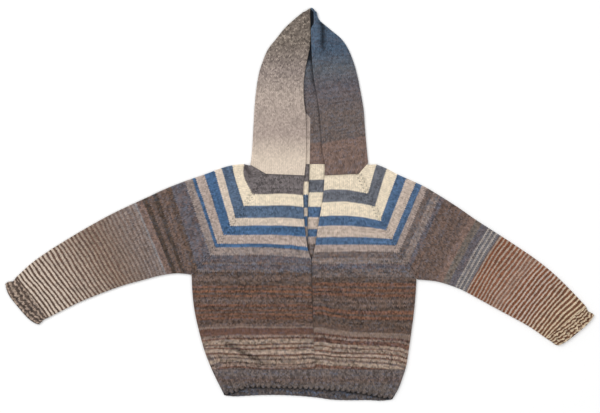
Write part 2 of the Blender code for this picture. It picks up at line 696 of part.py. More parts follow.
def hem(layer):
    """A ribbed hem band across both halves, with a scalloped lower edge.

    The back band's ribs stand up only where the front band leaves it in sight.
    """
    top = (HEM_FRONT_TOP if layer == "front" else HEM_BACK_TOP) - SEAM / 2
    knots = column(HEM, "x")
    edge = column(HEM, layer)
    count = round((body_side("right", top) - body_side("left", top)) / RIB_PITCH)
    share = np.linspace(0, 1, RIB_STEPS * count + 1)
    rib = ribs(share, count)
    full = np.clip(np.minimum(share, 1 - share) * len(share) / 2, 0, 1)
    edge_x = mix(body_side("left", edge[0]), body_side("right", edge[-1]), share)
    outer = []
    inner = []
    for level in HEM_LEVELS[layer]:
        left = body_side("left", mix(edge[0], top, level))
        right = body_side("right", mix(edge[-1], top, level))
        low_y = smooth(knots, edge, edge_x)
        if level == 0.0:
            low_y += SCALLOP * (1 - rib)
        plan = np.stack([mix(left, right, share), mix(low_y, top, level)], axis=1)
        thick = SHEET * mix(RIM_OUTLINE, 1.0, full) * (HEM_EDGE_SHARE if level == 0.0 else 1.0)
        if layer == "front":
            low = upper_underside(plan)
            outer.append(np.column_stack([plan, low + thick + RIB_RISE * rib * full]))
            inner.append(np.column_stack([plan, low]))
        else:
            front_edge = smooth(knots, column(HEM, "front"), plan[:, 0])
            shown = np.clip((front_edge - plan[:, 1]) / HEM_CLEAR - SCALLOP / HEM_CLEAR, 0, 1)
            outer.append(np.column_stack([plan, SHEET - thick]))
            inner.append(np.column_stack([plan, SHEET + RIB_RISE * rib * full * shown]))
    wall("hem_" + layer, np.array(outer), np.array(inner))


def clear_scene():
    for item in list(bpy.data.objects):
        bpy.data.objects.remove(item, do_unlink=True)


def main():
    clear_scene()
    for side in ("left", "right"):
        body_panel(side, "back")
        body_panel(side, "front")
        sleeve(side)
        cuff(side)
        hood(side)
    hem("back")
    hem("front")


main()
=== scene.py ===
"""Dresses the hooded pullover that lies flat on its back, in twelve knitted pieces.

Plan places are in millimetres in the garment's own frame: X runs right from the middle of the
front, Y runs up from the back hem's lowest edge, and Z is up from the ground. Each piece is a
closed wall between an outer and an inner grid of points, and its map called "knit" counts
stitches along a row in U and millimetres of knitting in V, so that stripes, marls and stitches
follow the cloth.
"""

import logging
import math
from dataclasses import dataclass, field
from enum import Enum
from typing import Any, Iterable, NamedTuple, Sequence

import bpy
import numpy as np
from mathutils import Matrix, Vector


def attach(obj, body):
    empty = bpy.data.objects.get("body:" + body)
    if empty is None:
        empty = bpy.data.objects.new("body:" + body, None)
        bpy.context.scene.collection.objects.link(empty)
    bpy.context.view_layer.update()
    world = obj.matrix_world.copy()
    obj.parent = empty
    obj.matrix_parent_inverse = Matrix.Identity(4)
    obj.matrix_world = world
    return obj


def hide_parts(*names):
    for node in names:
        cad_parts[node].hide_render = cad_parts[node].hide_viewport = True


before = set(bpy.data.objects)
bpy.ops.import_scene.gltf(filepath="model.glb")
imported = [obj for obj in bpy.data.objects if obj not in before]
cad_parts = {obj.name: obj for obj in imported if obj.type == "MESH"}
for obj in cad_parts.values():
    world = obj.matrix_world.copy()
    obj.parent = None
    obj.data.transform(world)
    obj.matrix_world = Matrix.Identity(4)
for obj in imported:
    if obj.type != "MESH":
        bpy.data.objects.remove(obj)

Array = np.ndarray
Number = float | Array
LOG = logging.getLogger("pullover")

MM = 0.001
BOX_MIDDLE = (-24.2, 441.34)  # the garment's place that is X = Y = 0 in the frame
SHEET = 2.5  # thickness of the knitted cloth
SEAM = 0.3  # gap along a seam
LAY_GAP = 0.35  # air between two layers at an edge
LOFT = 2.2  # how much further they part in the middle of a piece
LOFT_REACH = 26.0
FOLD_REACH = 2.8  # from a fold's outermost line to its flat part
STITCH = 4.5  # width of a stitch
ROW = 3.3  # height of a row
RIB_PITCH = 13.5
RIB_RISE = 0.6
SCALLOP = 1.6
NECK_FRONT = 510.0
NECK_BACK = 532.0
NECK_DIP = 3.5
SLIT_FOOT = 316.0
HEM_FRONT = 70.0
HEM_BACK = 50.0
HOOD_TIP = 884.0
RAGLAN_GAP = 0.65 * SEAM
CORNER_GAP = 0.55 * SEAM
SEAM_LINE = 2.6  # half width of the painted shade along a seam, and of the painted shadow under the hood's edge
RAGLAN_MARKS = 4.0  # from the raglan seam to the marks along it
BODY_SLANT = 0.82  # distance from the raglan line to a step along a body row
SLEEVE_SLANT = 0.8  # the same along a sleeve row
BULGE_PEAK = 6.75  # makes the greatest value of x times (1 - x) squared equal to 1
EDGE_WIDTH = 2.6  # width of the rounding along an edge
EDGE_PLACES = (0.0, 0.08, 0.3, 0.65, 1.0)  # where the rounding has points, of its width
RIM_OUTLINE = 0.38  # share of the thickness left at a seam on the outline
RIM_FREE = 0.55  # the same at a free edge
RIM_SEAM = 0.8  # the same at a seam between two panels
NECK_EASE = 80.0  # how far below the neck the rows still follow its dip
FOLD_TURNS = np.radians(np.linspace(78, -78, 9))  # places round a fold, above the level
FAR = 99.0  # stands for no raglan seam near
HEM_LEVELS = (0, 0.02, 0.05, 0.1, 0.16, 0.24, 0.34, 0.46, 0.58, 0.7, 0.82, 0.92, 0.97, 1)
GAIN = 0.98  # makes up for the shade between the stitches


class Side(Enum):
    """The viewer's left or right half of the garment."""

    LEFT = "left"
    RIGHT = "right"

    @property
    def sign(self) -> float:
        """-1 on the left and 1 on the right."""
        return -1.0 if self is Side.LEFT else 1.0


class Layer(Enum):
    """The upper layer or the one that lies on the ground."""

    FRONT = "front"
    BACK = "back"


class BodyRow(NamedTuple):
    """The body's outline and its middle seams at one height."""

    height: float
    left: float
    right: float
    front_seam: float
    back_seam: float


class SlitRow(NamedTuple):
    """The two edges of the neck slit, and of the hood's mouth above it."""

    height: float
    left: float
    right: float


class CapRow(NamedTuple):
    """A row of a sleeve's cap: its place on the fold and its height on the raglan line."""

    fold_x: float
    fold_y: float
    seam_height: float


class ArmRow(NamedTuple):
    """A row of the arm: its places on the fold and on the underarm seam."""

    fold_x: float
    fold_y: float
    seam_x: float
    seam_y: float


class CuffRow(NamedTuple):
    """A row of a cuff, and how far its middle runs ahead."""

    fold_x: float
    fold_y: float
    seam_x: float
    seam_y: float
    bow: float


class HoodRow(NamedTuple):
    """A row of the hood: its place on the outer fold and its height on the face edge."""

    fold_x: float
    fold_y: float
    edge_height: float


class HemRow(NamedTuple):
    """The lower edges of the two hem bands at one X."""

    x: float
    front: float
    back: float


class Crease(NamedTuple):
    """A soft ridge, or with a negative rise a trough, with its painted light, which is painted
    shade where negative.
    """

    x0: float
    y0: float
    x1: float
    y1: float
    half_width: float
    rise: float
    shade: float = 0.0


class RowBend(NamedTuple):
    """How far a row of a body half stands above its nominal height, across the half."""

    height: float
    offsets: tuple[float, ...]


class ShadeRow(NamedTuple):
    """How dark the hollow is beside its left and right edge, and how far in, at one height."""

    height: float
    left: float
    left_reach: float
    right: float
    right_reach: float


class Cut(NamedTuple):
    """A piece spread flat, all round where it is a tube, in metres and square metres."""

    width: float
    length: float
    area: float


class Corner(NamedTuple):
    """Where hood, sleeve and shoulder meet, and how the two folds run out from there."""

    x: float
    height: float
    hood_way: tuple[float, float]
    sleeve_way: tuple[float, float]
    back_raglan_x: float
    slit_x: float


BODY = (
    BodyRow(0, -188.5, 183.0, 11.0, 0.0),
    BodyRow(28, -202.0, 198.7, 10.5, -0.5),
    BodyRow(50, -213.0, 206.8, 10.3, -1.0),
    BodyRow(76, -224.8, 215.0, 10.0, -1.5),
    BodyRow(110, -237.9, 220.8, 8.5, -2.0),
    BodyRow(150, -249.3, 226.4, 6.8, -3.0),
    BodyRow(200, -260.6, 233.0, 5.2, -4.0),
    BodyRow(245, -266.0, 237.0, 3.8, -5.0),
    BodyRow(272.3, -267.2, 238.6, 3.0, -5.4),
    BodyRow(283.3, -267.5, 239.5, 2.8, -5.5),
    BodyRow(422, -267.5, 239.5, 2.0, -6.0),
    BodyRow(532, -267.5, 239.5, 2.0, -2.0),
    BodyRow(884, -267.5, 239.5, 2.0, 0.0),
)
RAGLAN = {
    Side.LEFT: ((-100.0, 510.0), (-225.0, 329.0), (-267.5, 283.3)),
    Side.RIGHT: ((108.0, 510.0), (158.0, 407.5), (238.6, 272.3)),
}
SLIT = (
    SlitRow(SLIT_FOOT, 2.2, 2.6),
    SlitRow(325, -0.8, 4.6),
    SlitRow(339, -5.5, 8.5),
    SlitRow(355, -8.0, 11.5),
    SlitRow(392, -13.0, 17.0),
    SlitRow(435, -15.0, 24.5),
    SlitRow(470, -16.5, 29.0),
    SlitRow(506, -13.5, 31.5),
    SlitRow(532, -10.5, 32.0),
    SlitRow(558, -9.5, 27.0),
    SlitRow(596, -9.5, 24.0),
    SlitRow(643, -10.5, 20.5),
    SlitRow(682, -15.0, 15.0),
    SlitRow(720, -14.5, 8.0),
    SlitRow(757, -9.0, 4.0),
    SlitRow(798, -0.6, 1.6),
    SlitRow(HOOD_TIP, -0.6, 0.6),
)
CAP = {
    Side.LEFT: (
        CapRow(-149.5, 532.0, 465.0),
        CapRow(-175.0, 529.3, 438.0),
        CapRow(-200.0, 523.0, 411.0),
        CapRow(-236.8, 509.2, 374.5),
        CapRow(-282.3, 493.6, 329.0),
        CapRow(-327.8, 475.8, 283.3),
    ),
    Side.RIGHT: (
        CapRow(148.5, 531.5, 466.0),
        CapRow(171.8, 521.7, 436.5),
        CapRow(195.3, 509.2, 407.5),
        CapRow(237.0, 490.6, 364.0),
        CapRow(267.5, 475.2, 333.0),
        CapRow(327.5, 437.7, 272.3),
    ),
}
ARM = {
    Side.LEFT: (
        ArmRow(-370.0, 456.0, -303.0, 286.0),
        ArmRow(-411.5, 437.0, -340.4, 280.5),
        ArmRow(-454.0, 416.3, -377.6, 270.8),
        ArmRow(-503.2, 389.0, -423.0, 258.3),
        ArmRow(-549.8, 361.3, -469.0, 241.8),
        ArmRow(-592.8, 334.2, -512.7, 224.3),
        ArmRow(-629.7, 307.6, -550.3, 206.5),
        ArmRow(-662.8, 277.3, -592.0, 185.5),
    ),
    Side.RIGHT: (
        ArmRow(371.0, 407.5, 287.0, 267.0),
        ArmRow(419.5, 376.3, 335.8, 251.0),
        ArmRow(463.0, 348.0, 372.8, 231.6),
        ArmRow(505.5, 318.9, 410.6, 210.8),
        ArmRow(543.9, 288.5, 452.5, 188.3),
        ArmRow(581.3, 252.8, 494.1, 165.0),
        ArmRow(620.2, 211.7, 530.6, 139.8),
    ),
}
CUFF = {
    Side.LEFT: (
        CuffRow(-662.8, 277.3, -592.0, 185.5, 0.0),
        CuffRow(-669.2, 269.0, -600.2, 181.8, 3.5),
        CuffRow(-680.4, 267.0, -605.2, 176.8, 7.0),
        CuffRow(-687.8, 261.8, -611.5, 171.2, 10.5),
    ),
    Side.RIGHT: (
        CuffRow(620.2, 211.7, 530.6, 139.8, 0.0),
        CuffRow(625.2, 200.7, 542.5, 132.2, 2.0),
        CuffRow(633.2, 196.8, 549.5, 126.6, 4.0),
        CuffRow(639.4, 192.0, 556.5, 123.5, 6.2),
    ),
}
HOOD = {
    Side.LEFT: (
        HoodRow(-133.6, 540.0, 541.0),
        HoodRow(-131.0, 570.0, 570.0),
        HoodRow(-128.7, 612.0, 612.0),
        HoodRow(-126.3, 656.0, 656.0),
        HoodRow(-122.1, 700.0, 700.0),
        HoodRow(-116.0, 736.0, 736.0),
        HoodRow(-108.0, 762.0, 764.0),
        HoodRow(-96.0, 790.0, 796.0),
        HoodRow(-77.4, 814.0, 824.0),
        HoodRow(-57.0, 839.0, 848.0),
        HoodRow(-36.3, 858.2, 867.0),
        HoodRow(-15.8, 875.0, 883.0),
    ),
    Side.RIGHT: (
        HoodRow(129.3, 540.0, 541.0),
        HoodRow(126.2, 570.0, 570.0),
        HoodRow(122.8, 612.0, 612.0),
        HoodRow(119.4, 656.0, 656.0),
        HoodRow(111.8, 700.0, 700.0),
        HoodRow(104.3, 736.3, 736.0),
        HoodRow(96.6, 762.3, 764.0),
        HoodRow(85.4, 790.2, 796.0),
        HoodRow(69.9, 813.5, 824.0),
        HoodRow(46.4, 833.6, 846.0),
        HoodRow(24.6, 852.0, 864.0),
        HoodRow(16.9, 862.0, 873.0),
        HoodRow(13.6, 875.2, 883.5),
    ),
}
CORNER = {
    Side.LEFT: Corner(-133.0, 529.2, (-0.95, 0.31), (-0.96, -0.28), -104.0, -13.0),
    Side.RIGHT: Corner(126.8, 531.2, (0.95, 0.31), (0.96, -0.28), 111.0, 31.0),
}
HEM = (
    HemRow(-192.0, 13.0, 11.0),
    HemRow(-172.0, 17.0, 9.0),
    HemRow(-149.5, 26.5, 10.0),
    HemRow(-100.0, 28.0, 12.0),
    HemRow(-20.0, 26.0, 9.5),
    HemRow(16.0, 24.0, 6.0),
    HemRow(46.0, 22.5, 1.8),
    HemRow(90.0, 18.5, 0.2),
    HemRow(131.0, 12.5, 0.5),
    HemRow(160.0, 6.0, -0.8),
    HemRow(185.0, 3.5, 2.0),
)
# The largest folds, then the smaller and uneven creases between them, the last ones with painted
# shade in their troughs and painted light on their ridges.
CREASES = (
    Crease(-160.0, 120.0, -96.0, 72.0, 20.0, 1.6),
    Crease(-120.0, 118.0, -60.0, 84.0, 14.0, -1.0),
    Crease(96.0, 130.0, 190.0, 90.0, 20.0, 1.3),
    Crease(-96.0, 700.0, -84.0, 560.0, 24.0, 1.1),
    Crease(70.0, 720.0, 86.0, 575.0, 24.0, 1.1),
    Crease(-262.0, 300.0, -222.0, 410.0, 18.0, 1.4),
    Crease(-290.0, 300.0, -300.0, 420.0, 16.0, -1.0),
    Crease(236.0, 290.0, 214.0, 400.0, 18.0, 1.4),
    Crease(282.0, 285.0, 300.0, 400.0, 16.0, -1.0),
    Crease(-520.0, 330.0, -440.0, 350.0, 20.0, 1.1),
    Crease(470.0, 270.0, 400.0, 310.0, 20.0, 1.1),
    Crease(-215.0, 95.0, -165.0, 84.0, 9.0, 0.9),
    Crease(-185.0, 150.0, -140.0, 128.0, 8.0, -0.7),
    Crease(-70.0, 150.0, -12.0, 138.0, 11.0, 0.7),
    Crease(40.0, 160.0, 96.0, 168.0, 10.0, 0.6),
    Crease(120.0, 104.0, 176.0, 78.0, 9.0, -0.8),
    Crease(-205.0, 250.0, -120.0, 262.0, 15.0, 0.7),
    Crease(60.0, 255.0, 160.0, 240.0, 16.0, 0.7),
    Crease(-90.0, 470.0, -50.0, 380.0, 14.0, 0.7),
    Crease(52.0, 470.0, 90.0, 380.0, 15.0, 0.8),
    Crease(-400.0, 400.0, -350.0, 330.0, 13.0, 0.8),
    Crease(-580.0, 300.0, -530.0, 262.0, 12.0, 0.7),
    Crease(380.0, 350.0, 345.0, 290.0, 13.0, 0.8),
    Crease(560.0, 230.0, 520.0, 190.0, 12.0, 0.7),
    Crease(-60.0, 820.0, -44.0, 700.0, 15.0, 0.9),
    Crease(60.0, 800.0, 62.0, 690.0, 14.0, 0.8),
    Crease(-124.0, 560.0, -96.0, 531.0, 7.0, -0.9, -0.1),
    Crease(120.0, 558.0, 96.0, 532.0, 7.0, -0.8, -0.1),
    Crease(-194.0, 131.0, -102.0, 82.0, 8.0, -1.8, -0.7),
    Crease(-184.0, 116.0, -98.0, 70.0, 8.0, 1.0, 0.12),
    Crease(8.0, 252.0, 56.0, 194.0, 8.5, -0.8, -0.3),
    Crease(8.0, 74.0, 34.0, 93.0, 5.0, -0.8, -0.35),
    Crease(22.0, 70.0, 44.0, 86.0, 6.0, 0.7, 0.1),
    Crease(-154.0, 534.0, -126.0, 500.0, 7.5, -1.3, -0.5),
    Crease(-128.0, 511.0, -96.0, 506.0, 4.0, -0.6, -0.4),
    Crease(114.0, 516.0, 136.0, 466.0, 6.0, -0.8, -0.14),
    Crease(128.0, 526.0, 150.0, 500.0, 6.0, 0.8, 0.05),
)
# How the rows of each body half run, from the middle seam to the side.
BEND_SHARES = (0.0, 0.08, 0.2, 0.4, 0.5, 0.62, 0.75, 0.88, 1.0)
ROW_BENDS = {
    Side.LEFT: (
        RowBend(60.0, (4.0, 2.0, 0.0, 0.0, 1.0, 4.0, 6.0, 3.0, -5.0)),
        RowBend(80.0, (4.0, 2.0, 0.0, 0.0, 0.0, 3.0, 5.0, 4.0, -3.0)),
        RowBend(107.0, (3.0, 2.5, 1.0, 0.0, 0.0, 0.5, 2.5, 4.0, 3.0)),
        RowBend(122.0, (1.0, 1.0, 0.0, -0.5, -2.5, -3.0, -2.0, -2.0, -3.0)),
        RowBend(135.0, (0.0, 0.0, 0.0, -0.5, -2.0, -2.5, -1.5, -4.0, -7.0)),
        RowBend(150.0, (1.0, 1.0, 0.0, 0.0, 0.0, 0.0, -0.5, -2.0, -4.5)),
        RowBend(230.0, (-2.0, -1.0, 0.0, 0.0, 0.0, 0.0, 0.0, 0.0, -1.0)),
        RowBend(290.0, (-3.0, -2.0, -0.5, 0.0, 0.0, 0.0, 0.0, 0.0, 0.0)),
        RowBend(328.0, (-8.0, -6.0, -3.0, -0.5, 0.0, 0.0, 0.0, 0.0, 0.0)),
        RowBend(345.0, (-8.0, -6.0, -2.5, -0.3, 0.0, 0.0, 0.0, 0.0, 0.0)),
        RowBend(373.0, (-4.0, -3.0, -1.0, 0.0, 0.0, 0.0, 0.0, 0.0, 0.0)),
        RowBend(411.0, (-3.0, -2.0, 0.0, 1.0, 1.0, 0.5, 0.0, 0.0, 0.0)),
        RowBend(510.0, (-2.0, -1.5, 0.0, 1.0, 1.0, 0.5, 0.0, 0.0, 0.0)),
    ),
    Side.RIGHT: (
        RowBend(60.0, (0.0, 0.0, 0.0, -2.0, -3.5, -6.0, -8.0, -13.0, -20.0)),
        RowBend(80.0, (3.0, 3.0, 0.0, -2.0, -3.0, -4.5, -6.0, -10.0, -18.0)),
        RowBend(105.0, (3.0, 3.0, -1.0, -3.0, -3.5, -4.5, -6.0, -8.5, -16.0)),
        RowBend(122.0, (4.0, 4.0, 0.0, -3.0, -3.5, -4.5, -5.5, -8.0, -15.0)),
        RowBend(156.0, (3.5, 3.5, -1.0, -6.0, -7.0, -8.0, -9.0, -10.0, -14.0)),
        RowBend(210.0, (4.0, 4.0, -1.0, -5.0, -5.5, -6.0, -6.0, -5.5, -5.0)),
        RowBend(245.0, (1.0, 1.0, 0.0, -1.0, -1.5, -2.0, -2.0, -2.0, -2.0)),
        RowBend(283.0, (0.0, 0.0, 0.0, 0.0, 0.0, 0.0, 0.0, -0.5, -1.0)),
        RowBend(333.0, (-2.0, -1.5, -0.5, 0.0, 0.0, 0.0, -0.5, -1.0, -2.0)),
        RowBend(351.0, (-1.0, -0.5, 0.0, 0.0, 0.0, 0.0, -0.5, -1.0, -2.0)),
        RowBend(368.0, (0.0, 0.0, 0.5, 0.5, 0.5, 0.0, -1.0, -2.5, -4.3)),
        RowBend(392.0, (0.0, 0.0, 1.0, 1.0, 0.5, -1.0, -2.5, -6.0, -9.0)),
        RowBend(446.0, (0.0, 0.0, 1.0, 1.0, 0.5, -1.0, -3.0, -6.5, -10.0)),
        RowBend(474.0, (0.0, 0.5, 2.0, 2.0, 1.5, 0.0, -2.0, -5.0, -7.6)),
        RowBend(510.0, (0.0, 0.0, 1.0, 1.0, 1.0, 0.0, -0.5, -1.0, -2.0)),
    ),
}
HOLLOW = (
    ShadeRow(300, 0.7, 4.0, 0.6, 4.0),
    ShadeRow(327, 0.65, 4.0, 0.5, 3.0),
    ShadeRow(384, 0.5, 3.6, 0.35, 2.5),
    ShadeRow(430, 0.3, 3.0, 0.3, 2.5),
    ShadeRow(540, 0.2, 2.6, 0.4, 3.0),
    ShadeRow(608, 0.22, 2.6, 0.35, 3.0),
    ShadeRow(642, 0.45, 3.0, 0.6, 2.6),
    ShadeRow(676, 0.45, 3.4, 0.45, 2.8),
    ShadeRow(700, 0.25, 2.5, 0.5, 5.0),
    ShadeRow(721, 0.2, 2.5, 0.75, 7.0),
    ShadeRow(739, 0.3, 2.5, 0.65, 7.5),
    ShadeRow(757, 0.5, 2.5, 0.8, 5.0),
    ShadeRow(768, 0.9, 6.0, 0.9, 6.0),
    ShadeRow(884, 0.9, 6.0, 0.9, 6.0),
)
# A back's height as a height of the front's knitting: multiply, then add.
BACK_ROWS = {Side.LEFT: (0.909, 16.6), Side.RIGHT: (0.9526, -0.3)}


def mix(a: Any, b: Any, share: Any) -> Any:
    """Straight mix from a, at share 0, to b, at share 1."""
    return a + (b - a) * share


def ease(low: Number, high: Number, at: Number) -> Array:
    """0 below low and 1 above high, with a soft S between."""
    share = np.clip((np.asarray(at, float) - low) / (high - low), 0, 1)
    return share * share * (3 - 2 * share)


def smooth(knots: Sequence[float], values: Any, at: Any) -> Array:
    """A cubic between each two knots, with the slopes of the line between their neighbours.

    Args:
        knots: Rising places of the values.
        values: The curve's values there.
        at: Places to read.

    Returns:
        The curve's value at each place, level beyond the ends.
    """
    knots = np.asarray(knots, float)
    values = np.asarray(values, float)
    at = np.clip(np.asarray(at, float), knots[0], knots[-1])
    slopes = np.gradient(values, knots)
    low = np.clip(np.searchsorted(knots, at, side="right") - 1, 0, len(knots) - 2)
    span = knots[low + 1] - knots[low]
    t = (at - knots[low]) / span
    start = (1 + 2 * t) * (1 - t) ** 2 * values[low] + t * (1 - t) ** 2 * span * slopes[low]
    end = t**2 * (3 - 2 * t) * values[low + 1] + t**2 * (t - 1) * span * slopes[low + 1]
    return start + end


def column(rows: Iterable[NamedTuple], name: str) -> Array:
    """One named column of a table, as an array."""
    return np.array([getattr(row, name) for row in rows], float)


def plan(rows: Iterable[NamedTuple], x_name: str, y_name: str) -> Array:
    """Two named columns of a table, as plan points."""
    rows = tuple(rows)
    return np.stack([column(rows, x_name), column(rows, y_name)], axis=1)


def smooth_points(points: Array, at: Array) -> Array:
    """A smooth run through plan points numbered from 0, read at some numbers."""
    knots = np.arange(len(points))
    return np.stack([smooth(knots, points[:, i], at) for i in (0, 1)], axis=-1)


def toward(points: Array, goal: Array, step: float) -> Array:
    """Each plan point moved by a step towards its goal."""
    way = goal - points
    return points + way / np.linalg.norm(way, axis=-1, keepdims=True) * step


def run_length(line: Array) -> Array:
    """Length along a run of plan points, from its first point to each."""
    steps = np.linalg.norm(np.diff(line, axis=0), axis=1)
    return np.concatenate([[0.0], np.cumsum(steps)])


def sleeve_fold(side: Side) -> Array:
    """Plan points of the sleeve's fold, over the cap and down the arm."""
    cap, arm = (plan(table[side], "fold_x", "fold_y") for table in (CAP, ARM))
    return np.concatenate([cap, arm])


def underarm(side: Side) -> Array:
    """Plan points of the underarm seam, from the foot of the raglan line."""
    return np.concatenate([[RAGLAN[side][-1]], plan(ARM[side], "seam_x", "seam_y")])


class Form:
    """The garment's plan and the height of its upper layer."""

    def __init__(self) -> None:
        """Lays out the edges where the upper layer comes down to the lower one."""
        self.runs = self._edge_runs()

    def body_side(self, side: Side, height: Number) -> Array:
        """The body's outline at a height."""
        return smooth(column(BODY, "height"), column(BODY, side.value), height)

    def middle_seam(self, layer: Layer, height: Number) -> Array:
        """The middle seam of the front or back at a height."""
        return smooth(column(BODY, "height"), column(BODY, layer.value + "_seam"), height)

    def slit(self, side: Side, height: Number) -> Array:
        """The edge of the neck slit, or of the hood's mouth, at a height."""
        return smooth(column(SLIT, "height"), column(SLIT, side.value), height)

    def raglan_rise(self, side: Side, layer: Layer) -> float:
        """How much taller the layer's raglan line is than the front's."""
        foot = RAGLAN[side][-1][1]
        return 1.0 if layer is Layer.FRONT else (NECK_BACK - foot) / (NECK_FRONT - foot)

    def raglan(self, side: Side, layer: Layer, height: Number) -> Array:
        """The raglan line's X at a height of the layer."""
        rows = np.array(RAGLAN[side])[::-1]
        heights = rows[0, 1] + (rows[:, 1] - rows[0, 1]) * self.raglan_rise(side, layer)
        return np.interp(height, heights, rows[:, 0])

    def neck(self, side: Side, layer: Layer, x: Number) -> Array:
        """The neck seam's height at X, which climbs beyond the raglan line to the corner."""
        corner = CORNER[side]
        if layer is Layer.FRONT:
            top = RAGLAN[side][0]
            knots = [abs(corner.slit_x), abs(top[0]), abs(corner.x)]
            heights = [NECK_FRONT - NECK_DIP, top[1], corner.height]
        else:
            knots = [abs(corner.back_raglan_x), abs(corner.x)]
            heights = [NECK_BACK, corner.height]
        return np.interp(np.abs(x), knots, heights)

    def row_offset(self, side: Side, height: Array, share: Array) -> Array:
        """How far a front row stands above its nominal height.

        The table's columns are smooth curves over the height, and the row runs straight from
        each column to the next with an S between.

        Args:
            side: The body half.
            height: Nominal heights.
            share: 0 on the middle seam and 1 on the side or raglan line.

        Returns:
            The offsets in millimetres.
        """
        bends = ROW_BENDS[side]
        knots = column(bends, "height")
        table = np.array([bend.offsets for bend in bends])
        places = np.array(BEND_SHARES)
        total = np.zeros(np.broadcast(height, share).shape)
        for i, place in enumerate(places):
            before = places[i - 1] if i else -1.0
            after = places[i + 1] if i + 1 < len(places) else 2.0
            weight = np.minimum(ease(before, place, share), 1 - ease(place, after, share))
            total += smooth(knots, table[:, i], height) * weight
        return total

    def knit_height(self, side: Side, height: Array, share: Array) -> Array:
        """The nominal height of the front row that passes through each place."""
        nominal = height
        for _ in range(4):
            nominal = height - self.row_offset(side, nominal, share)
        return nominal

    def _edge_runs(self) -> list[Array]:
        """Runs of plan points along every edge where the layers meet."""
        runs: list[Array] = []
        side_heights = np.linspace(12.0, 272.0, 30)
        face_heights = np.linspace(SLIT_FOOT, HOOD_TIP, 40)
        for side in Side:
            corner = CORNER[side]
            hood = np.concatenate(
                [[(corner.x, corner.height)], plan(HOOD[side], "fold_x", "fold_y")]
            )
            cuff_fold = plan(CUFF[side], "fold_x", "fold_y")
            cuff_seam = plan(CUFF[side], "seam_x", "seam_y")
            runs.append(np.stack([self.body_side(side, side_heights), side_heights], axis=1))
            runs.append(np.stack([self.slit(side, face_heights), face_heights], axis=1))
            for run in (sleeve_fold(side), underarm(side), hood):
                runs.append(smooth_points(run, np.linspace(0, len(run) - 1, 3 * len(run))))
            runs += [cuff_fold, cuff_seam, np.stack([cuff_fold[-1], cuff_seam[-1]])]
        runs.append(plan(HEM, "x", "front"))
        return runs

    def edge_distance(self, xy: Array) -> Array:
        """Distance from each plan point to the nearest edge line."""
        flat = xy.reshape(-1, 2)
        best = np.full(len(flat), np.inf)
        for run in self.runs:
            for start, end in zip(run[:-1], run[1:]):
                way = end - start
                share = np.clip((flat - start) @ way / (way @ way), 0, 1)
                gap = flat - start - share[:, None] * way
                best = np.minimum(best, np.hypot(gap[:, 0], gap[:, 1]))
        return best.reshape(xy.shape[:-1])

    def creases(self, xy: Array) -> tuple[Array, Array]:
        """Sums of the creases' heights and of their light.

        Each is a round-topped bump across its line that fades to its ends.
        """
        height, light = np.zeros(xy.shape[:-1]), np.zeros(xy.shape[:-1])
        for crease in CREASES:
            start = np.array([crease.x0, crease.y0])
            way = np.array([crease.x1, crease.y1]) - start
            share = (xy - start) @ way / (way @ way)
            gap = np.linalg.norm(xy - start - share[..., None] * way, axis=-1)
            ends = np.cos(np.clip(np.abs(share * 2 - 1), 0, 1) * math.pi / 2)
            bump = np.cos(np.clip(gap / crease.half_width, 0, 1) * math.pi / 2) ** 2
            bump = bump * np.sqrt(ends)
            height += crease.rise * bump
            light += crease.shade * bump
        return height, light

    def mouth_shade(self, xy: Array) -> Array:
        """Shade inside the slit and the hood's mouth: a dark line along each edge.

        It is 1 less a bell over the distance from each edge.
        """
        x, y = xy[..., 0], xy[..., 1]
        knots = column(HOLLOW, "height")
        shade = np.ones(x.shape)
        for side in Side:
            gap = np.clip((self.slit(side, y) - x) * side.sign, 0, None)
            depth = np.interp(y, knots, column(HOLLOW, side.value))
            reach = np.interp(y, knots, column(HOLLOW, side.value + "_reach"))
            shade = shade - np.where(y > SLIT_FOOT, depth * np.exp(-((gap / reach) ** 2)), 0)
        return np.clip(shade, 0.1, 1)

    def underside(self, xy: Array) -> Array:
        """Height of the upper layer's underside, which parts from the lower away from edges."""
        away = 1 - np.exp(-self.edge_distance(xy) / LOFT_REACH)
        return SHEET + LAY_GAP + np.maximum(LOFT + self.creases(xy)[0], 0) * away


def rounding(distance: Number, rim: Number) -> Array:
    """Thickness share at a distance from an edge: a quarter of an ellipse up from the rim."""
    share = 1 - np.clip(np.asarray(distance) / EDGE_WIDTH, 0, 1)
    return mix(rim, 1.0, np.sqrt(1 - share**2))


def levels(low: float, top: float, step: float, stops: Sequence[float] = ()) -> Array:
    """Even places from low to top, closer by both ends and with one on each stop."""
    near = np.array(EDGE_PLACES) * EDGE_WIDTH
    even = np.linspace(low + EDGE_WIDTH, top - EDGE_WIDTH, max(3, round((top - low) / step)))
    even = even[1:-1]
    for stop in stops:
        even = even[np.abs(even - stop) > 0.3 * step]
    return np.unique(np.concatenate([low + near, top - near, even, np.array(stops)]))


def across(length: Array, shares: Array, both: bool) -> Array:
    """Places along rows of some lengths: fixed near the edges and in shares between.

    Args:
        length: The length of each row.
        shares: Rising shares from 0 to 1 of the part between the roundings.
        both: Whether the far end is rounded too.

    Returns:
        A grid with the places of each row.
    """
    near = np.array(EDGE_PLACES[:-1]) * EDGE_WIDTH
    inner = length[:, None] - EDGE_WIDTH * (2 if both else 1)
    parts = [np.broadcast_to(near, (len(length), len(near))), EDGE_WIDTH + inner * shares]
    if both:
        parts.append(length[:, None] - near[::-1])
    return np.concatenate(parts, axis=1)


def rib_wave(share: Array, count: int) -> Array:
    """Height of the ribbing, from 0 in a valley to 1 on a flat-topped rib."""
    wave = 0.5 - 0.5 * np.cos(share * count * 2 * math.pi)
    return wave**0.8


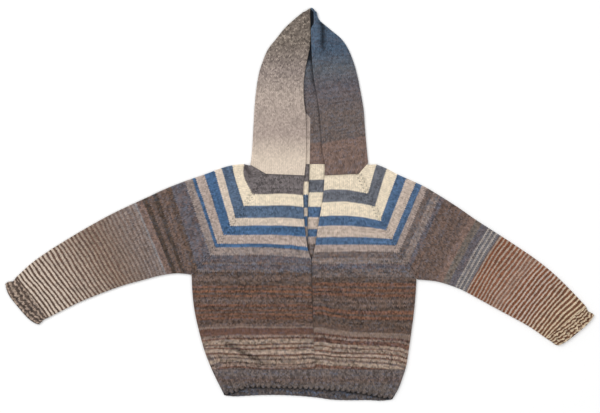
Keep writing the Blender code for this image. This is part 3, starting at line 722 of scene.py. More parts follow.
@dataclass
class Patch:
    """The two grids of one piece, with its stitches and rows at each place.

    Args:
        outer: Points of the side that faces out, in rows, in millimetres.
        inner: Points of the other side.
        stitches: Number of the stitch at each place of the grid.
        rows: Millimetres of knitting at each place.
        extra: Other numbers for the finish, by name.
    """

    outer: Array
    inner: Array
    stitches: Array
    rows: Array
    extra: dict[str, Array] = field(default_factory=dict)

    def faces(self, points: Array) -> Array:
        """Quads over both grids and round the rim, turned so that they face out."""
        over = np.arange(self.rows.size).reshape(self.rows.shape)
        top = np.stack([over[:-1, :-1], over[:-1, 1:], over[1:, 1:], over[1:, :-1]], axis=-1)
        top = top.reshape(-1, 4)
        border = np.concatenate([over[0, :-1], over[:-1, -1], over[-1, :0:-1], over[:0:-1, 0]])
        after = np.roll(border, -1)
        rim = np.stack([after, border, border + over.size, after + over.size], axis=1)
        quads = np.concatenate([top, top[:, ::-1] + over.size, rim])
        a, b, c, d = (points[quads[:, i]] for i in range(4))
        volume = np.einsum("ij,ij", a, np.cross(b, c)) + np.einsum("ij,ij", a, np.cross(c, d))
        return quads if volume > 0 else quads[:, ::-1]

    def make(self, name: str) -> bpy.types.Object:
        """Makes the mesh object.

        Args:
            name: Name of the piece.

        Returns:
            The object, with its map "knit" and its extra numbers as attributes.
        """
        points = np.concatenate([self.outer.reshape(-1, 3), self.inner.reshape(-1, 3)])
        points = (points - np.array([*BOX_MIDDLE, 0.0])) * MM
        quads = self.faces(points)
        mesh = bpy.data.meshes.new(name)
        mesh.vertices.add(len(points))
        mesh.vertices.foreach_set("co", points.ravel())
        mesh.loops.add(quads.size)
        mesh.loops.foreach_set("vertex_index", quads.ravel())
        mesh.polygons.add(len(quads))
        mesh.polygons.foreach_set("loop_start", np.arange(0, quads.size, 4))
        mesh.polygons.foreach_set("use_smooth", np.ones(len(quads), bool))
        mesh.update(calc_edges=True)
        knit = np.stack([self.stitches.ravel(), self.rows.ravel()], axis=1)
        knit = np.concatenate([knit, knit])
        mesh.uv_layers.new(name="knit").data.foreach_set("uv", knit[quads.ravel()].ravel())
        for label, values in ({"shade": np.ones(self.rows.shape)} | self.extra).items():
            both = np.concatenate([values.ravel(), values.ravel()]).astype(np.float32)
            mesh.attributes.new(label, "FLOAT", "POINT").data.foreach_set("value", both)
        mesh.set_sharp_from_angle(angle=math.radians(50))
        mesh.validate()
        piece = bpy.data.objects.new(name, mesh)
        bpy.context.scene.collection.objects.link(piece)
        return piece


@dataclass
class BodyPanel:
    """Half of the front or back, from its rib band up to the neck."""

    form: Form
    side: Side
    layer: Layer
    spacing: float = 4.0
    rows_start: float = HEM_BACK
    neck: float = NECK_BACK
    # Painted shade along the middle seam's groove.
    seam_painted_shade: float = 0.48
    # Painted shadow under the hood's edge at the neck.
    neck_painted_shade: float = 0.3

    def __post_init__(self) -> None:
        """Takes the front's sizes where the panel is in front."""
        if self.layer is Layer.FRONT:
            self.rows_start, self.neck, self.seam_painted_shade = HEM_FRONT, NECK_FRONT, 0.42

    def patch(self) -> Patch:
        """Rows run across from the side or raglan line to the middle seam or slit.

        Each row is level, and near the neck it follows the neck's dip more and more.
        """
        form, side, sign = self.form, self.side, self.side.sign
        front = self.layer is Layer.FRONT
        foot = RAGLAN[side][-1][1]
        bend = foot + (RAGLAN[side][1][1] - foot) * form.raglan_rise(side, self.layer)
        low, top = self.rows_start + SEAM / 2, self.neck - SEAM / 2
        stops = (foot, SLIT_FOOT, bend) if front else (foot, bend)
        heights = levels(low, top, self.spacing, stops)
        on_raglan = heights >= foot
        raglan_x = form.raglan(side, self.layer, heights) - sign * RAGLAN_GAP
        outer_x = np.where(on_raglan, raglan_x, form.body_side(side, heights))
        inner_x = form.middle_seam(self.layer, heights)
        if front:
            inner_x = np.where(heights > SLIT_FOOT, form.slit(side, heights), inner_x)
        inner_x = inner_x + sign * SEAM / 2
        length = np.abs(outer_x - inner_x)
        count = round(float(length.max()) / self.spacing)
        places = across(length, np.linspace(0, 1, count), both=True)
        x = outer_x[:, None] - sign * places
        near_neck = np.clip(1 - (top - heights) / NECK_EASE, 0, 1)[:, None] ** 2
        yoke_end = abs(RAGLAN[side][0][0] if front else CORNER[side].back_raglan_x)
        dip = form.neck(side, self.layer, np.minimum(np.abs(x), yoke_end)) - SEAM / 2 - top
        y = heights[:, None] + dip * near_neck
        plan_xy = np.stack([x, y], axis=-1)

        outer_rim = mix(RIM_OUTLINE, RIM_SEAM, ease(foot - 4, foot + 8, heights))[:, None]
        slit_share = ease(SLIT_FOOT, SLIT_FOOT + 12, heights) if front else 0 * heights
        inner_rim = mix(RIM_SEAM, RIM_FREE, slit_share)[:, None]
        share = rounding(places, outer_rim) * rounding(length[:, None] - places, inner_rim)
        share = share * rounding(heights - low, RIM_SEAM)[:, None]
        share = share * rounding(top - heights, RIM_SEAM)[:, None]
        from_seam = np.abs(x - inner_x[:, None])
        # Painted shade of the groove along the middle seam.
        painted_seam_shade = self.seam_painted_shade * np.exp(-((from_seam / SEAM_LINE) ** 2))
        if front:
            under = form.underside(plan_xy)
            outer = np.dstack([plan_xy, under + SHEET * share])
            inner = np.dstack([plan_xy, under])
            rows = form.knit_height(side, y, from_seam / length[:, None])
            below_slit = 1 - ease(SLIT_FOOT - 8, SLIT_FOOT + 4, y)
            painted_seam_shade = painted_seam_shade * mix(0.45, 1.0, ease(120, 300, y)) * below_slit
            # Painted shadow under the hood's edge along the neck seam.
            neck_shadow = np.exp(-(((form.neck(side, self.layer, x) - y) / SEAM_LINE) ** 2))
            shade = (1 + form.creases(plan_xy)[1]) * (1 - self.neck_painted_shade * neck_shadow)
        else:
            outer = np.dstack([plan_xy, SHEET * (1 - share)])
            inner = np.dstack([plan_xy, np.full_like(x, SHEET)])
            scale, start = BACK_ROWS[side]
            rows = y * scale + start
            shade = form.mouth_shade(plan_xy)
        stitches = (x - form.middle_seam(self.layer, y)) * sign / STITCH
        raglan = np.where(on_raglan[:, None], places * BODY_SLANT, FAR)
        shade = shade * (1 - painted_seam_shade)
        return Patch(outer, inner, stitches, rows, {"raglan": raglan, "shade": shade})


def folded(
    form: Form,
    upper: Array,
    thick: Array,
    lower: Array,
    under: Array,
    base: Array,
    tip: Array,
    lift: Array | float = 0.0,
) -> tuple[Array, Array]:
    """Outer and inner points of rows that run over the upper layer, round a fold and back.

    The fold is half an ellipse in a standing plane, from base, where both layers end, to tip.

    Args:
        form: The garment's form.
        upper: Plan points of the upper layer, from its end to the fold.
        thick: Its thickness at each.
        lower: Plan points of the lower layer, from the fold to its end.
        under: Height of its underside at each.
        base: Where each row's flat part ends.
        tip: The outermost point of each row's fold.
        lift: What is added to the height of the upper layer.

    Returns:
        The outer and the inner grid.
    """
    low = form.underside(upper) + lift
    middle = ((low + thick)[:, -1] / 2)[:, None]
    bore = ((low[:, -1] - SHEET) / 2)[:, None]
    turn = FOLD_TURNS[None, :]
    reach = np.cos(turn)[..., None] * (tip - base)[:, None]
    round_out = np.dstack([base[:, None] + reach, middle * (1 + np.sin(turn))])
    narrow = reach * (bore / middle)[..., None]
    round_in = np.dstack([base[:, None] + narrow, SHEET + bore * (1 + np.sin(turn))])
    level = np.full(lower.shape[:2], SHEET)
    outer = [np.dstack([upper, low + thick]), round_out, np.dstack([lower, under])]
    inner = [np.dstack([upper, low]), round_in, np.dstack([lower, level])]
    return np.concatenate(outer, axis=1), np.concatenate(inner, axis=1)


def fold_columns(upper: Array, over: Array, lower: Array) -> Array:
    """Joins three grids of numbers: the upper layer's, the fold's and the lower layer's."""
    return np.concatenate([upper, over, lower], axis=1)


@dataclass
class Sleeve:
    """A raglan sleeve, folded along its top edge and seamed along the underarm."""

    form: Form
    side: Side
    spacing: float = 4.0
    cap_rows: dict[Side, tuple[float, ...]] = field(
        default_factory=lambda: {
            Side.LEFT: (508.0, 465.0, 438.0, 411.0, 374.5, 329.0, 283.3),
            Side.RIGHT: (508.0, 473.6, 446.6, 416.5, 368.3, 333.0, 272.3),
        }
    )
    bend: dict[Side, float] = field(default_factory=lambda: {Side.LEFT: 0.0, Side.RIGHT: 9.5})
    bulge: dict[Side, float] = field(default_factory=lambda: {Side.LEFT: 9.0, Side.RIGHT: 0.0})

    def ends(self, layer: Layer, q: Array) -> Array:
        """Where a layer's rows end: on the raglan line, then on the underarm seam."""
        form, side = self.form, self.side
        foot = RAGLAN[side][-1][1]
        rise = form.raglan_rise(side, layer)
        caps = len(CAP[side])
        heights = np.concatenate([[NECK_FRONT], column(CAP[side], "seam_height")])
        heights = np.interp(q, np.arange(caps + 1), foot + (heights - foot) * rise)
        raglan = np.stack([form.raglan(side, layer, heights), heights], axis=-1)
        under = smooth_points(underarm(side), np.maximum(q - caps, 0))
        return np.where((q <= caps)[:, None], raglan, under)

    def lines(self, q: Array) -> tuple[Array, Array, Array, Array]:
        """Plan points of the rows numbered q: fold tip, fold base, upper end and lower end.

        Row 0 runs along the neck, rows 1 to 6 over the cap and the rest down the arm.
        """
        side, corner = self.side, CORNER[self.side]
        tip = smooth_points(sleeve_fold(side), np.maximum(q - 1, 0))
        front, back = self.ends(Layer.FRONT, q), self.ends(Layer.BACK, q)
        base = toward(tip, self.ends(Layer.FRONT, np.maximum(q, 1)), FOLD_REACH)
        start = np.array([corner.x, corner.height - CORNER_GAP])
        to_cap = np.clip(q, 0, 1)[:, None]
        tip = mix(start + FOLD_REACH * np.array(corner.sleeve_way), tip, to_cap)
        base = mix(start, base, to_cap)
        aside = np.array([side.sign * SEAM, -CORNER_GAP])
        front = mix(front + aside, toward(front, base, RAGLAN_GAP), to_cap)
        back = mix(back + aside, toward(back, base, RAGLAN_GAP), to_cap)
        return tip, base, front, back

    def patch(self) -> Patch:
        """Rows run from the raglan or underarm seam over the top, round the fold and back."""
        side = self.side
        last = len(CAP[side]) + len(ARM[side])
        fine = np.linspace(0, last, 60 * last + 1)
        tip, _, front, _ = self.lines(fine)
        run = run_length((tip + front) / 2)
        knots = np.interp(np.arange(last + 1), fine, run)
        places = levels(0.0, run[-1], self.spacing, tuple(knots[1:6]))
        q = np.interp(places, run, fine)
        tip, base, front, back = self.lines(q)
        drawn = toward(tip[-1:], tip[-2:-1], SEAM / 2)[0] - tip[-1]
        for line in (tip, base, front, back):
            line += drawn * ease(run[-1] - 12, run[-1], places)[:, None]

        caps = len(CAP[side])
        cap_rows = np.interp(q, np.arange(caps + 1), self.cap_rows[side])
        rows = np.where(q <= caps, cap_rows, cap_rows[-1] + knots[caps] - places)
        rim = mix(RIM_SEAM, RIM_OUTLINE, ease(caps - 0.05, caps + 0.2, q))[:, None]
        ends = rounding(places, RIM_SEAM) * rounding(run[-1] - places, RIM_SEAM)
        grids = []
        for end, columns in ((front, self.spacing), (back, self.spacing * 1.5)):
            length = np.linalg.norm(base - end, axis=1)
            count = round(float(length.max()) / columns)
            spots = across(length, np.linspace(0, 1, count), both=False)
            way = (base - end) / length[:, None]
            xy = end[:, None] + way[:, None] * spots[..., None]
            grids.append((xy, spots, rounding(spots, rim) * ends[:, None], length[:, None]))
        (upper, spots, share, length), (lower, spots_b, share_b, length_b) = grids
        lower, spots_b, share_b = lower[:, ::-1], spots_b[:, ::-1], share_b[:, ::-1]
        under = SHEET * (1 - share_b)
        outer, inner = folded(self.form, upper, SHEET * share, lower, under, base, tip)
        turn = np.sin(FOLD_TURNS)[None, :] * np.ones_like(length)
        stitches = fold_columns(
            length - spots + FOLD_REACH, turn * FOLD_REACH, spots_b - length_b - FOLD_REACH
        )
        on_cap = (q <= caps)[:, None]
        raglan = fold_columns(
            np.where(on_cap, spots * SLEEVE_SLANT, FAR),
            np.full_like(turn, FAR),
            np.where(on_cap, spots_b * SLEEVE_SLANT, FAR),
        )
        bend = self.bend[side] * ease(caps, caps + 1.6, q)[:, None]
        far = np.clip(1 - spots / length, 0, 1)
        bulge = self.bulge[side] * ease(0.0, 0.6, q) * (1 - ease(1.0, 2.6, q))
        across_cap = bend * far**2.2 + bulge[:, None] * BULGE_PEAK * far * (1 - far) ** 2
        rows = rows[:, None] + fold_columns(across_cap, turn * 0, 0 * spots_b)
        shade = fold_columns(1 + self.form.creases(upper)[1], 1 + turn * 0, 1 + 0 * spots_b)
        return Patch(outer, inner, stitches / STITCH, rows, {"raglan": raglan, "shade": shade})


@dataclass
class Hood:
    """Half of the hood, from its face edge out to the fold, round it and to the back seam."""

    form: Form
    side: Side
    spacing: float = 4.0
    bow: float = 0.0
    tilt: float = 0.0
    flap_rise: float = 2.4
    trough_depth: float = 1.9
    trough_gap: float = 3.5
    trough_width: float = 4.0
    # Painted shade in the trough and painted light on the turned strip, then painted shadow of the
    # gap by the left edge.
    trough_painted_shade: float = 0.8
    strip_painted_light: float = 0.15
    edge_painted_shade: float = 0.55

    def __post_init__(self) -> None:
        """Bows the right half's top row, which is rounder, and its rows climb to the fold."""
        if self.side is Side.RIGHT:
            self.bow, self.tilt = 2.6, 19.0

    def face_x(self, height: Array) -> Array:
        """The face edge, which on the right stands back from the other below the point."""
        x = self.form.slit(self.side, height)
        if self.side is Side.RIGHT:
            x = x + 6.4 * ease(836, 850, height) * (1 - ease(872, 882, height))
        return x

    def seam_x(self, height: Array) -> Array:
        """The back seam, which has slid to the left behind the upper part of the mouth."""
        slide = 16.0 * ease(634, 654, height) * (1 - ease(770, 860, height))
        return self.form.middle_seam(Layer.BACK, height) - slide

    def flap(self, xy: Array) -> Array:
        """The face edge turned over near the point: a raised strip with a trough beside it."""
        if self.side is Side.LEFT:
            return np.zeros(xy.shape[:-1])
        x, y = xy[..., 0], xy[..., 1]
        crease = mix(23.0, 15.0, ease(800, 875, y))
        strip = (1 - ease(-3.5, 3.0, x - crease)) * ease(762, 806, y)
        trough = np.exp(-(((x - crease - self.trough_gap) / self.trough_width) ** 2))
        trough = trough * ease(768, 796, y) * (1 - ease(850, 872, y))
        return self.flap_rise * strip - self.trough_depth * trough

    def patch(self) -> Patch:
        """Row 0 follows the neck seams, and the others run straight from face edge to fold."""
        form, side, corner = self.form, self.side, CORNER[self.side]
        sign = side.sign
        table = HOOD[side]
        folds = plan(table, "fold_x", "fold_y")
        edges = column(table, "edge_height")
        last = float(len(table))
        q = np.concatenate([[0.0, 0.02, 0.06, 0.12], np.arange(0.2, 1.0, 0.12)])
        q = np.concatenate([q, np.arange(1.0, last, 0.1), [last - 0.05, last]])
        climb = np.clip(q, 0, 1)[:, None]
        tip = smooth_points(folds, np.maximum(q - 1, 0))
        edge = smooth(np.arange(len(edges)), edges, np.maximum(q - 1, 0))
        first_base = np.array([corner.x, corner.height + CORNER_GAP])
        seam_level = self.seam_x(edge) + sign * SEAM / 2
        level = np.stack([seam_level, tip[:, 1]], axis=-1)
        base = mix(first_base, toward(tip, level, FOLD_REACH), climb)
        tip = mix(first_base + FOLD_REACH * np.array(corner.hood_way), tip, climb)

        grids = []
        for layer, columns in ((Layer.FRONT, self.spacing), (Layer.BACK, self.spacing * 1.5)):
            front = layer is Layer.FRONT
            neck = form.neck(side, layer, corner.slit_x if front else 0.0) + SEAM / 2
            height = mix(neck, edge, climb[:, 0])
            end_x = self.face_x(height) if front else self.seam_x(height)
            end = np.stack([end_x + sign * SEAM / 2, height], axis=-1)
            length = np.linalg.norm(base - end, axis=1)[:, None]
            bend_x = RAGLAN[side][0][0] if front else corner.back_raglan_x
            to_bend, to_fold = (abs(x - end[0, 0]) - EDGE_WIDTH for x in (bend_x, base[0, 0]))
            stop = to_bend / to_fold
            count = round(float(length.max()) / columns)
            before = round(count * stop)
            shares = np.concatenate(
                [np.linspace(0, stop, before), np.linspace(stop, 1, count - before + 1)[1:]]
            )
            spots = across(length[:, 0], shares, both=False)
            part = spots / length
            xy = end[:, None] + (base - end)[:, None] * part[..., None]
            on_neck = form.neck(side, layer, xy[..., 0]) + SEAM / 2
            lift = on_neck - mix(end[0, 1], base[0, 1], part)
            xy[..., 1] += lift * (1 - climb) * (spots > 0)
            xy[..., 1] += self.bow * (q[:, None] / last) ** 24 * 4 * part * (1 - part)
            grids.append((xy, spots, length))
        (upper, spots, length), (lower, spots_b, length_b) = grids
        run = run_length(upper[:, len(spots[0]) // 2])
        ends = rounding(run, RIM_SEAM)[:, None] * rounding(run[-1] - run, RIM_OUTLINE)[:, None]
        share = rounding(spots, RIM_FREE) * ends
        lower, spots_b = lower[:, ::-1], spots_b[:, ::-1]
        under = SHEET * (1 - rounding(spots_b, RIM_SEAM) * ends)
        lift = self.flap(upper)
        outer, inner = folded(form, upper, SHEET * share, lower, under, base, tip, lift)
        turn = (1 - np.sin(FOLD_TURNS))[None, :] * np.ones_like(length)
        back = length_b - spots_b + length + 2 * FOLD_REACH
        lit = np.ones_like(turn)
        stitches = fold_columns(spots, length + turn * FOLD_REACH, back)
        rows = mix(NECK_FRONT, edge, climb[:, 0])[:, None]
        tilt = self.tilt * climb * (1 - 0.7 * ease(560, 820, rows))
        rows = rows - tilt * fold_columns(spots / length, lit, spots_b / length_b)
        shade = fold_columns(self.crease_shade(upper), lit, form.mouth_shade(lower))
        return Patch(outer, inner, stitches / STITCH, rows, {"shade": shade})

    def crease_shade(self, xy: Array) -> Array:
        """Painted shade of creases, and near the point of the gap or trough; painted light on the
        strip.
        """
        x, y = xy[..., 0], xy[..., 1]
        if self.side is Side.LEFT:
            # Painted shadow of the narrow gap along the face edge near the point.
            edge = np.exp(-(((self.form.slit(self.side, y) - x) / 2.2) ** 2))
            edge = edge * ease(762, 790, y) * (1 - ease(868, 878, y))
            return (1 - self.edge_painted_shade * edge) * (1 + self.form.creases(xy)[1])
        # Painted shade in the trough beside the turned edge, and painted light on the raised
        # strip.
        crease = mix(27.5, 20.5, ease(830, 880, y))
        dark = np.exp(-(((x - crease) / 6.2) ** 2)) * ease(770, 812, y) * (1 - ease(854, 874, y))
        strip = (1 - ease(-5.0, -1.0, x - crease)) * ease(762, 800, y)
        shade = 1 - self.trough_painted_shade * dark + self.strip_painted_light * strip
        return shade * (1 + self.form.creases(xy)[1])


@dataclass
class Cuff:
    """A ribbed cuff that flares a little and is rolled at its end."""

    form: Form
    side: Side
    rib_steps: int = 10
    under_steps: int = 4
    row_steps: int = 5
    roll: float = 0.9
    end_rib: float = 0.4
    end_rim: float = 0.35

    def patch(self) -> Patch:
        """Rows bow towards the hand between their two ends, and the last ones are rolled."""
        table = CUFF[self.side]
        last = len(table) - 1
        at = np.linspace(0, last, self.row_steps * last + 1)
        at = np.unique(np.concatenate([at, [0.04, 0.12, last - 0.1, last - 0.04]]))
        tip = smooth_points(plan(table, "fold_x", "fold_y"), at)
        seam = smooth_points(plan(table, "seam_x", "seam_y"), at)
        bow = smooth(np.arange(len(table)), column(table, "bow"), at)[:, None]
        base = toward(tip, seam, FOLD_REACH)
        seam = toward(seam, base, SEAM / 2)
        arm = plan(ARM[self.side][-2:], "fold_x", "fold_y")
        ahead = (arm[1] - arm[0]) / np.linalg.norm(arm[1] - arm[0])
        count = round(float(np.linalg.norm(tip[0] - seam[0])) / RIB_PITCH)
        share = np.linspace(0, 1, self.rib_steps * count + 1)[None, :]
        under_share = np.linspace(1, 0, self.under_steps * count + 1)[None, :]
        runs = []
        for places in (share, under_share):
            push = (bow * (1 - (2 * places - 1) ** 4))[..., None] * ahead
            runs.append(seam[:, None] + (base - seam)[:, None] * places[..., None] + push)
        length = np.linalg.norm(base - seam, axis=1)[:, None]
        along = np.linalg.norm(runs[0][:, 0] - runs[0][0, 0], axis=1)[:, None]
        rolled = ease(last - 0.9, last - 0.2, at)[:, None]
        raised = RIB_RISE * rib_wave(share, count) * mix(1.0, self.end_rib, rolled)
        raised = (raised + self.roll * rolled) * ease(0, 0.5, at)[:, None]
        full = np.clip(share * length / EDGE_WIDTH, 0, 1)
        ends = rounding(along, RIM_SEAM) * rounding(along[-1] - along, self.end_rim)
        thick = SHEET * rounding(share * length, RIM_OUTLINE) * ends + raised * full * ends
        under = SHEET * (1 - rounding(under_share * length, RIM_OUTLINE) * ends)
        outer, inner = folded(self.form, runs[0], thick, runs[1], under, base, tip)
        turn = np.sin(FOLD_TURNS)[None, :] * np.ones_like(length)
        stitches = fold_columns(
            (1 - share) * length + FOLD_REACH,
            turn * FOLD_REACH,
            (under_share - 1) * length - FOLD_REACH,
        )
        rows = -along + 0 * stitches
        rib = fold_columns(rib_wave(share, count) + 0 * length, 0 * turn, 0 * under)
        return Patch(outer, inner, stitches / STITCH, rows, {"rib": rib})


@dataclass
class Hem:
    """A ribbed hem band across both halves, drawn up a little between the ribs."""

    form: Form
    layer: Layer
    rib_steps: int = 8
    notch: float = 0.5
    clear: float = 8.0
    edge_rim: float = 0.45
    rib_rim: float = 0.5

    def __post_init__(self) -> None:
        """Draws the front band up further between its ribs."""
        if self.layer is Layer.FRONT:
            self.notch, self.rib_rim = 3.2, 0.3

    def patch(self) -> Patch:
        """Rows run across; the back band's ribs stand up where the front leaves them in sight."""
        form, front = self.form, self.layer is Layer.FRONT
        top = (HEM_FRONT if front else HEM_BACK) - SEAM / 2
        knots = column(HEM, "x")
        edge = column(HEM, self.layer.value)
        width = form.body_side(Side.RIGHT, top) - form.body_side(Side.LEFT, top)
        count = round(float(width) / RIB_PITCH)
        share = np.linspace(0, 1, self.rib_steps * count + 1)[None, :]
        rib = rib_wave(share, count)
        level = np.array(HEM_LEVELS)[:, None]
        left = form.body_side(Side.LEFT, mix(edge[0], top, level))
        right = form.body_side(Side.RIGHT, mix(edge[-1], top, level))
        x = mix(left, right, share)
        low_y = smooth(knots, edge, x[:1]) + self.notch * (1 - rib) ** 2 * (1 - level) ** 3
        y = mix(low_y, top, level)
        xy = np.stack([x, y], axis=-1)
        side_gap = np.minimum(share, 1 - share) * width
        body = rounding(side_gap, RIM_OUTLINE) * rounding(top - y, RIM_SEAM)
        body = body * rounding(y - low_y, self.edge_rim)
        raised = RIB_RISE * rib * np.clip(side_gap / EDGE_WIDTH, 0, 1)
        raised = raised * rounding(y - low_y, self.rib_rim)
        if front:
            under = form.underside(xy)
            outer = np.dstack([xy, under + SHEET * body + raised * ease(0, 6, top - y + 1)])
            inner = np.dstack([xy, under])
            # Painted shade in the notches between the ribs along the lower edge.
            low_part = 1 - ease(0.8, 3.8, y - low_y)
            shade = 1 - (0.1 + 0.85 * (1 - rib) ** 2) * low_part
        else:
            below_front = smooth(knots, column(HEM, "front"), x) - y
            shown = np.clip((below_front - SCALLOP) / self.clear, 0, 1)
            outer = np.dstack([xy, SHEET * (1 - body)])
            inner = np.dstack([xy, SHEET + raised * shown])
            # Painted shadow under the front band's edge.
            shade = 1 - 0.8 * np.exp(-((np.clip(below_front, 0, None) / 3.4) ** 2))
        stitches = (x - 4.0) / STITCH
        return Patch(outer, inner, stitches, y, {"rib": rib + 0 * y, "shade": shade + 0 * y})


class Yarn(Enum):
    """The wools, as sRGB colours in daylight."""

    IRON = (110, 103, 103)
    CREAM = (231, 216, 192)
    SLATE = (83, 101, 124)
    DENIM = (68, 97, 131)
    BLUE = (76, 101, 132)
    INDIGO = (70, 86, 104)
    GRAPHITE = (100, 103, 111)
    STEEL = (92, 96, 102)
    FAWN = (172, 156, 147)
    PUTTY = (161, 145, 137)
    STONE = (145, 132, 126)
    DUSK = (98, 92, 96)
    SMOKE = (106, 95, 91)
    COCOA = (88, 74, 66)
    WALNUT = (104, 87, 79)
    BARK = (94, 77, 68)
    UMBER = (92, 72, 61)
    RUST = (110, 78, 62)
    COPPER = (118, 82, 63)
    CHESTNUT = (100, 74, 64)
    TAUPE = (128, 110, 99)
    DRIFT = (134, 121, 115)
    BIRCH = (112, 102, 94)
    MIST = (134, 129, 129)
    CLAY = (122, 101, 92)
    WHEY = (217, 201, 184)
    PEBBLE = (147, 130, 115)
    OAT = (167, 148, 133)
    ASH = (100, 90, 85)
    MILK = (209, 193, 177)
    ROSE_GREY = (176, 161, 151)
    CHARCOAL = (74, 63, 55)
    FLAX = (210, 189, 160)
    PEARL = (162, 153, 146)
    BRICK = (122, 74, 50)
    COCONUT = (104, 70, 50)
    HAZEL = (102, 75, 64)
    LEAD = (86, 80, 79)
    SAND = (191, 174, 161)
    HAZE = (106, 103, 106)

    @property
    def colour(self) -> tuple[float, float, float, float]:
        """The colour in the renderer's linear numbers."""
        share = np.array(self.value) / 255
        line = np.where(share > 0.04045, ((share + 0.055) / 1.055) ** 2.4, share / 12.92)
        return (*(line * GAIN).tolist(), 1.0)


RAMP_STOPS = 30
Stripes = tuple[tuple[float, Yarn], ...]
Run = tuple[tuple[float, float], ...]


class Value:
    """A shader number: an expression on values adds its Math nodes."""

    def __init__(self, nodes: "Nodes", socket: bpy.types.NodeSocket) -> None:
        """Wraps an output socket."""
        self.nodes, self.socket = nodes, socket

    def math(self, operation: str, *others: "Value | float", first: bool = True) -> "Value":
        """Adds a Math node, with this value as its first or second input."""
        values = [self, *others] if first else [*others, self]
        node = self.nodes.add("ShaderNodeMath", {"operation": operation}, dict(enumerate(values)))
        return Value(self.nodes, node.outputs[0])

    def __add__(self, other: "Value | float") -> "Value":
        """Sum."""
        return self.math("ADD", other)

    def __sub__(self, other: "Value | float") -> "Value":
        """Difference."""
        return self.math("SUBTRACT", other)

    def __mul__(self, other: "Value | float") -> "Value":
        """Product."""
        return self.math("MULTIPLY", other)

    def __truediv__(self, other: "Value | float") -> "Value":
        """Quotient."""
        return self.math("DIVIDE", other)

    def __rsub__(self, other: float) -> "Value":
        """A number less this value."""
        return self.math("SUBTRACT", other, first=False)

    __radd__ = __add__
    __rmul__ = __mul__

    def step(self, low: float, high: float) -> "Value":
        """0 at low and 1 at high, with a soft S between."""
        kind = {"data_type": "FLOAT", "interpolation_type": "SMOOTHSTEP"}
        node = self.nodes.add("ShaderNodeMapRange", kind, {"Value": self, 1: low, 2: high})
        return Value(self.nodes, node.outputs[0])


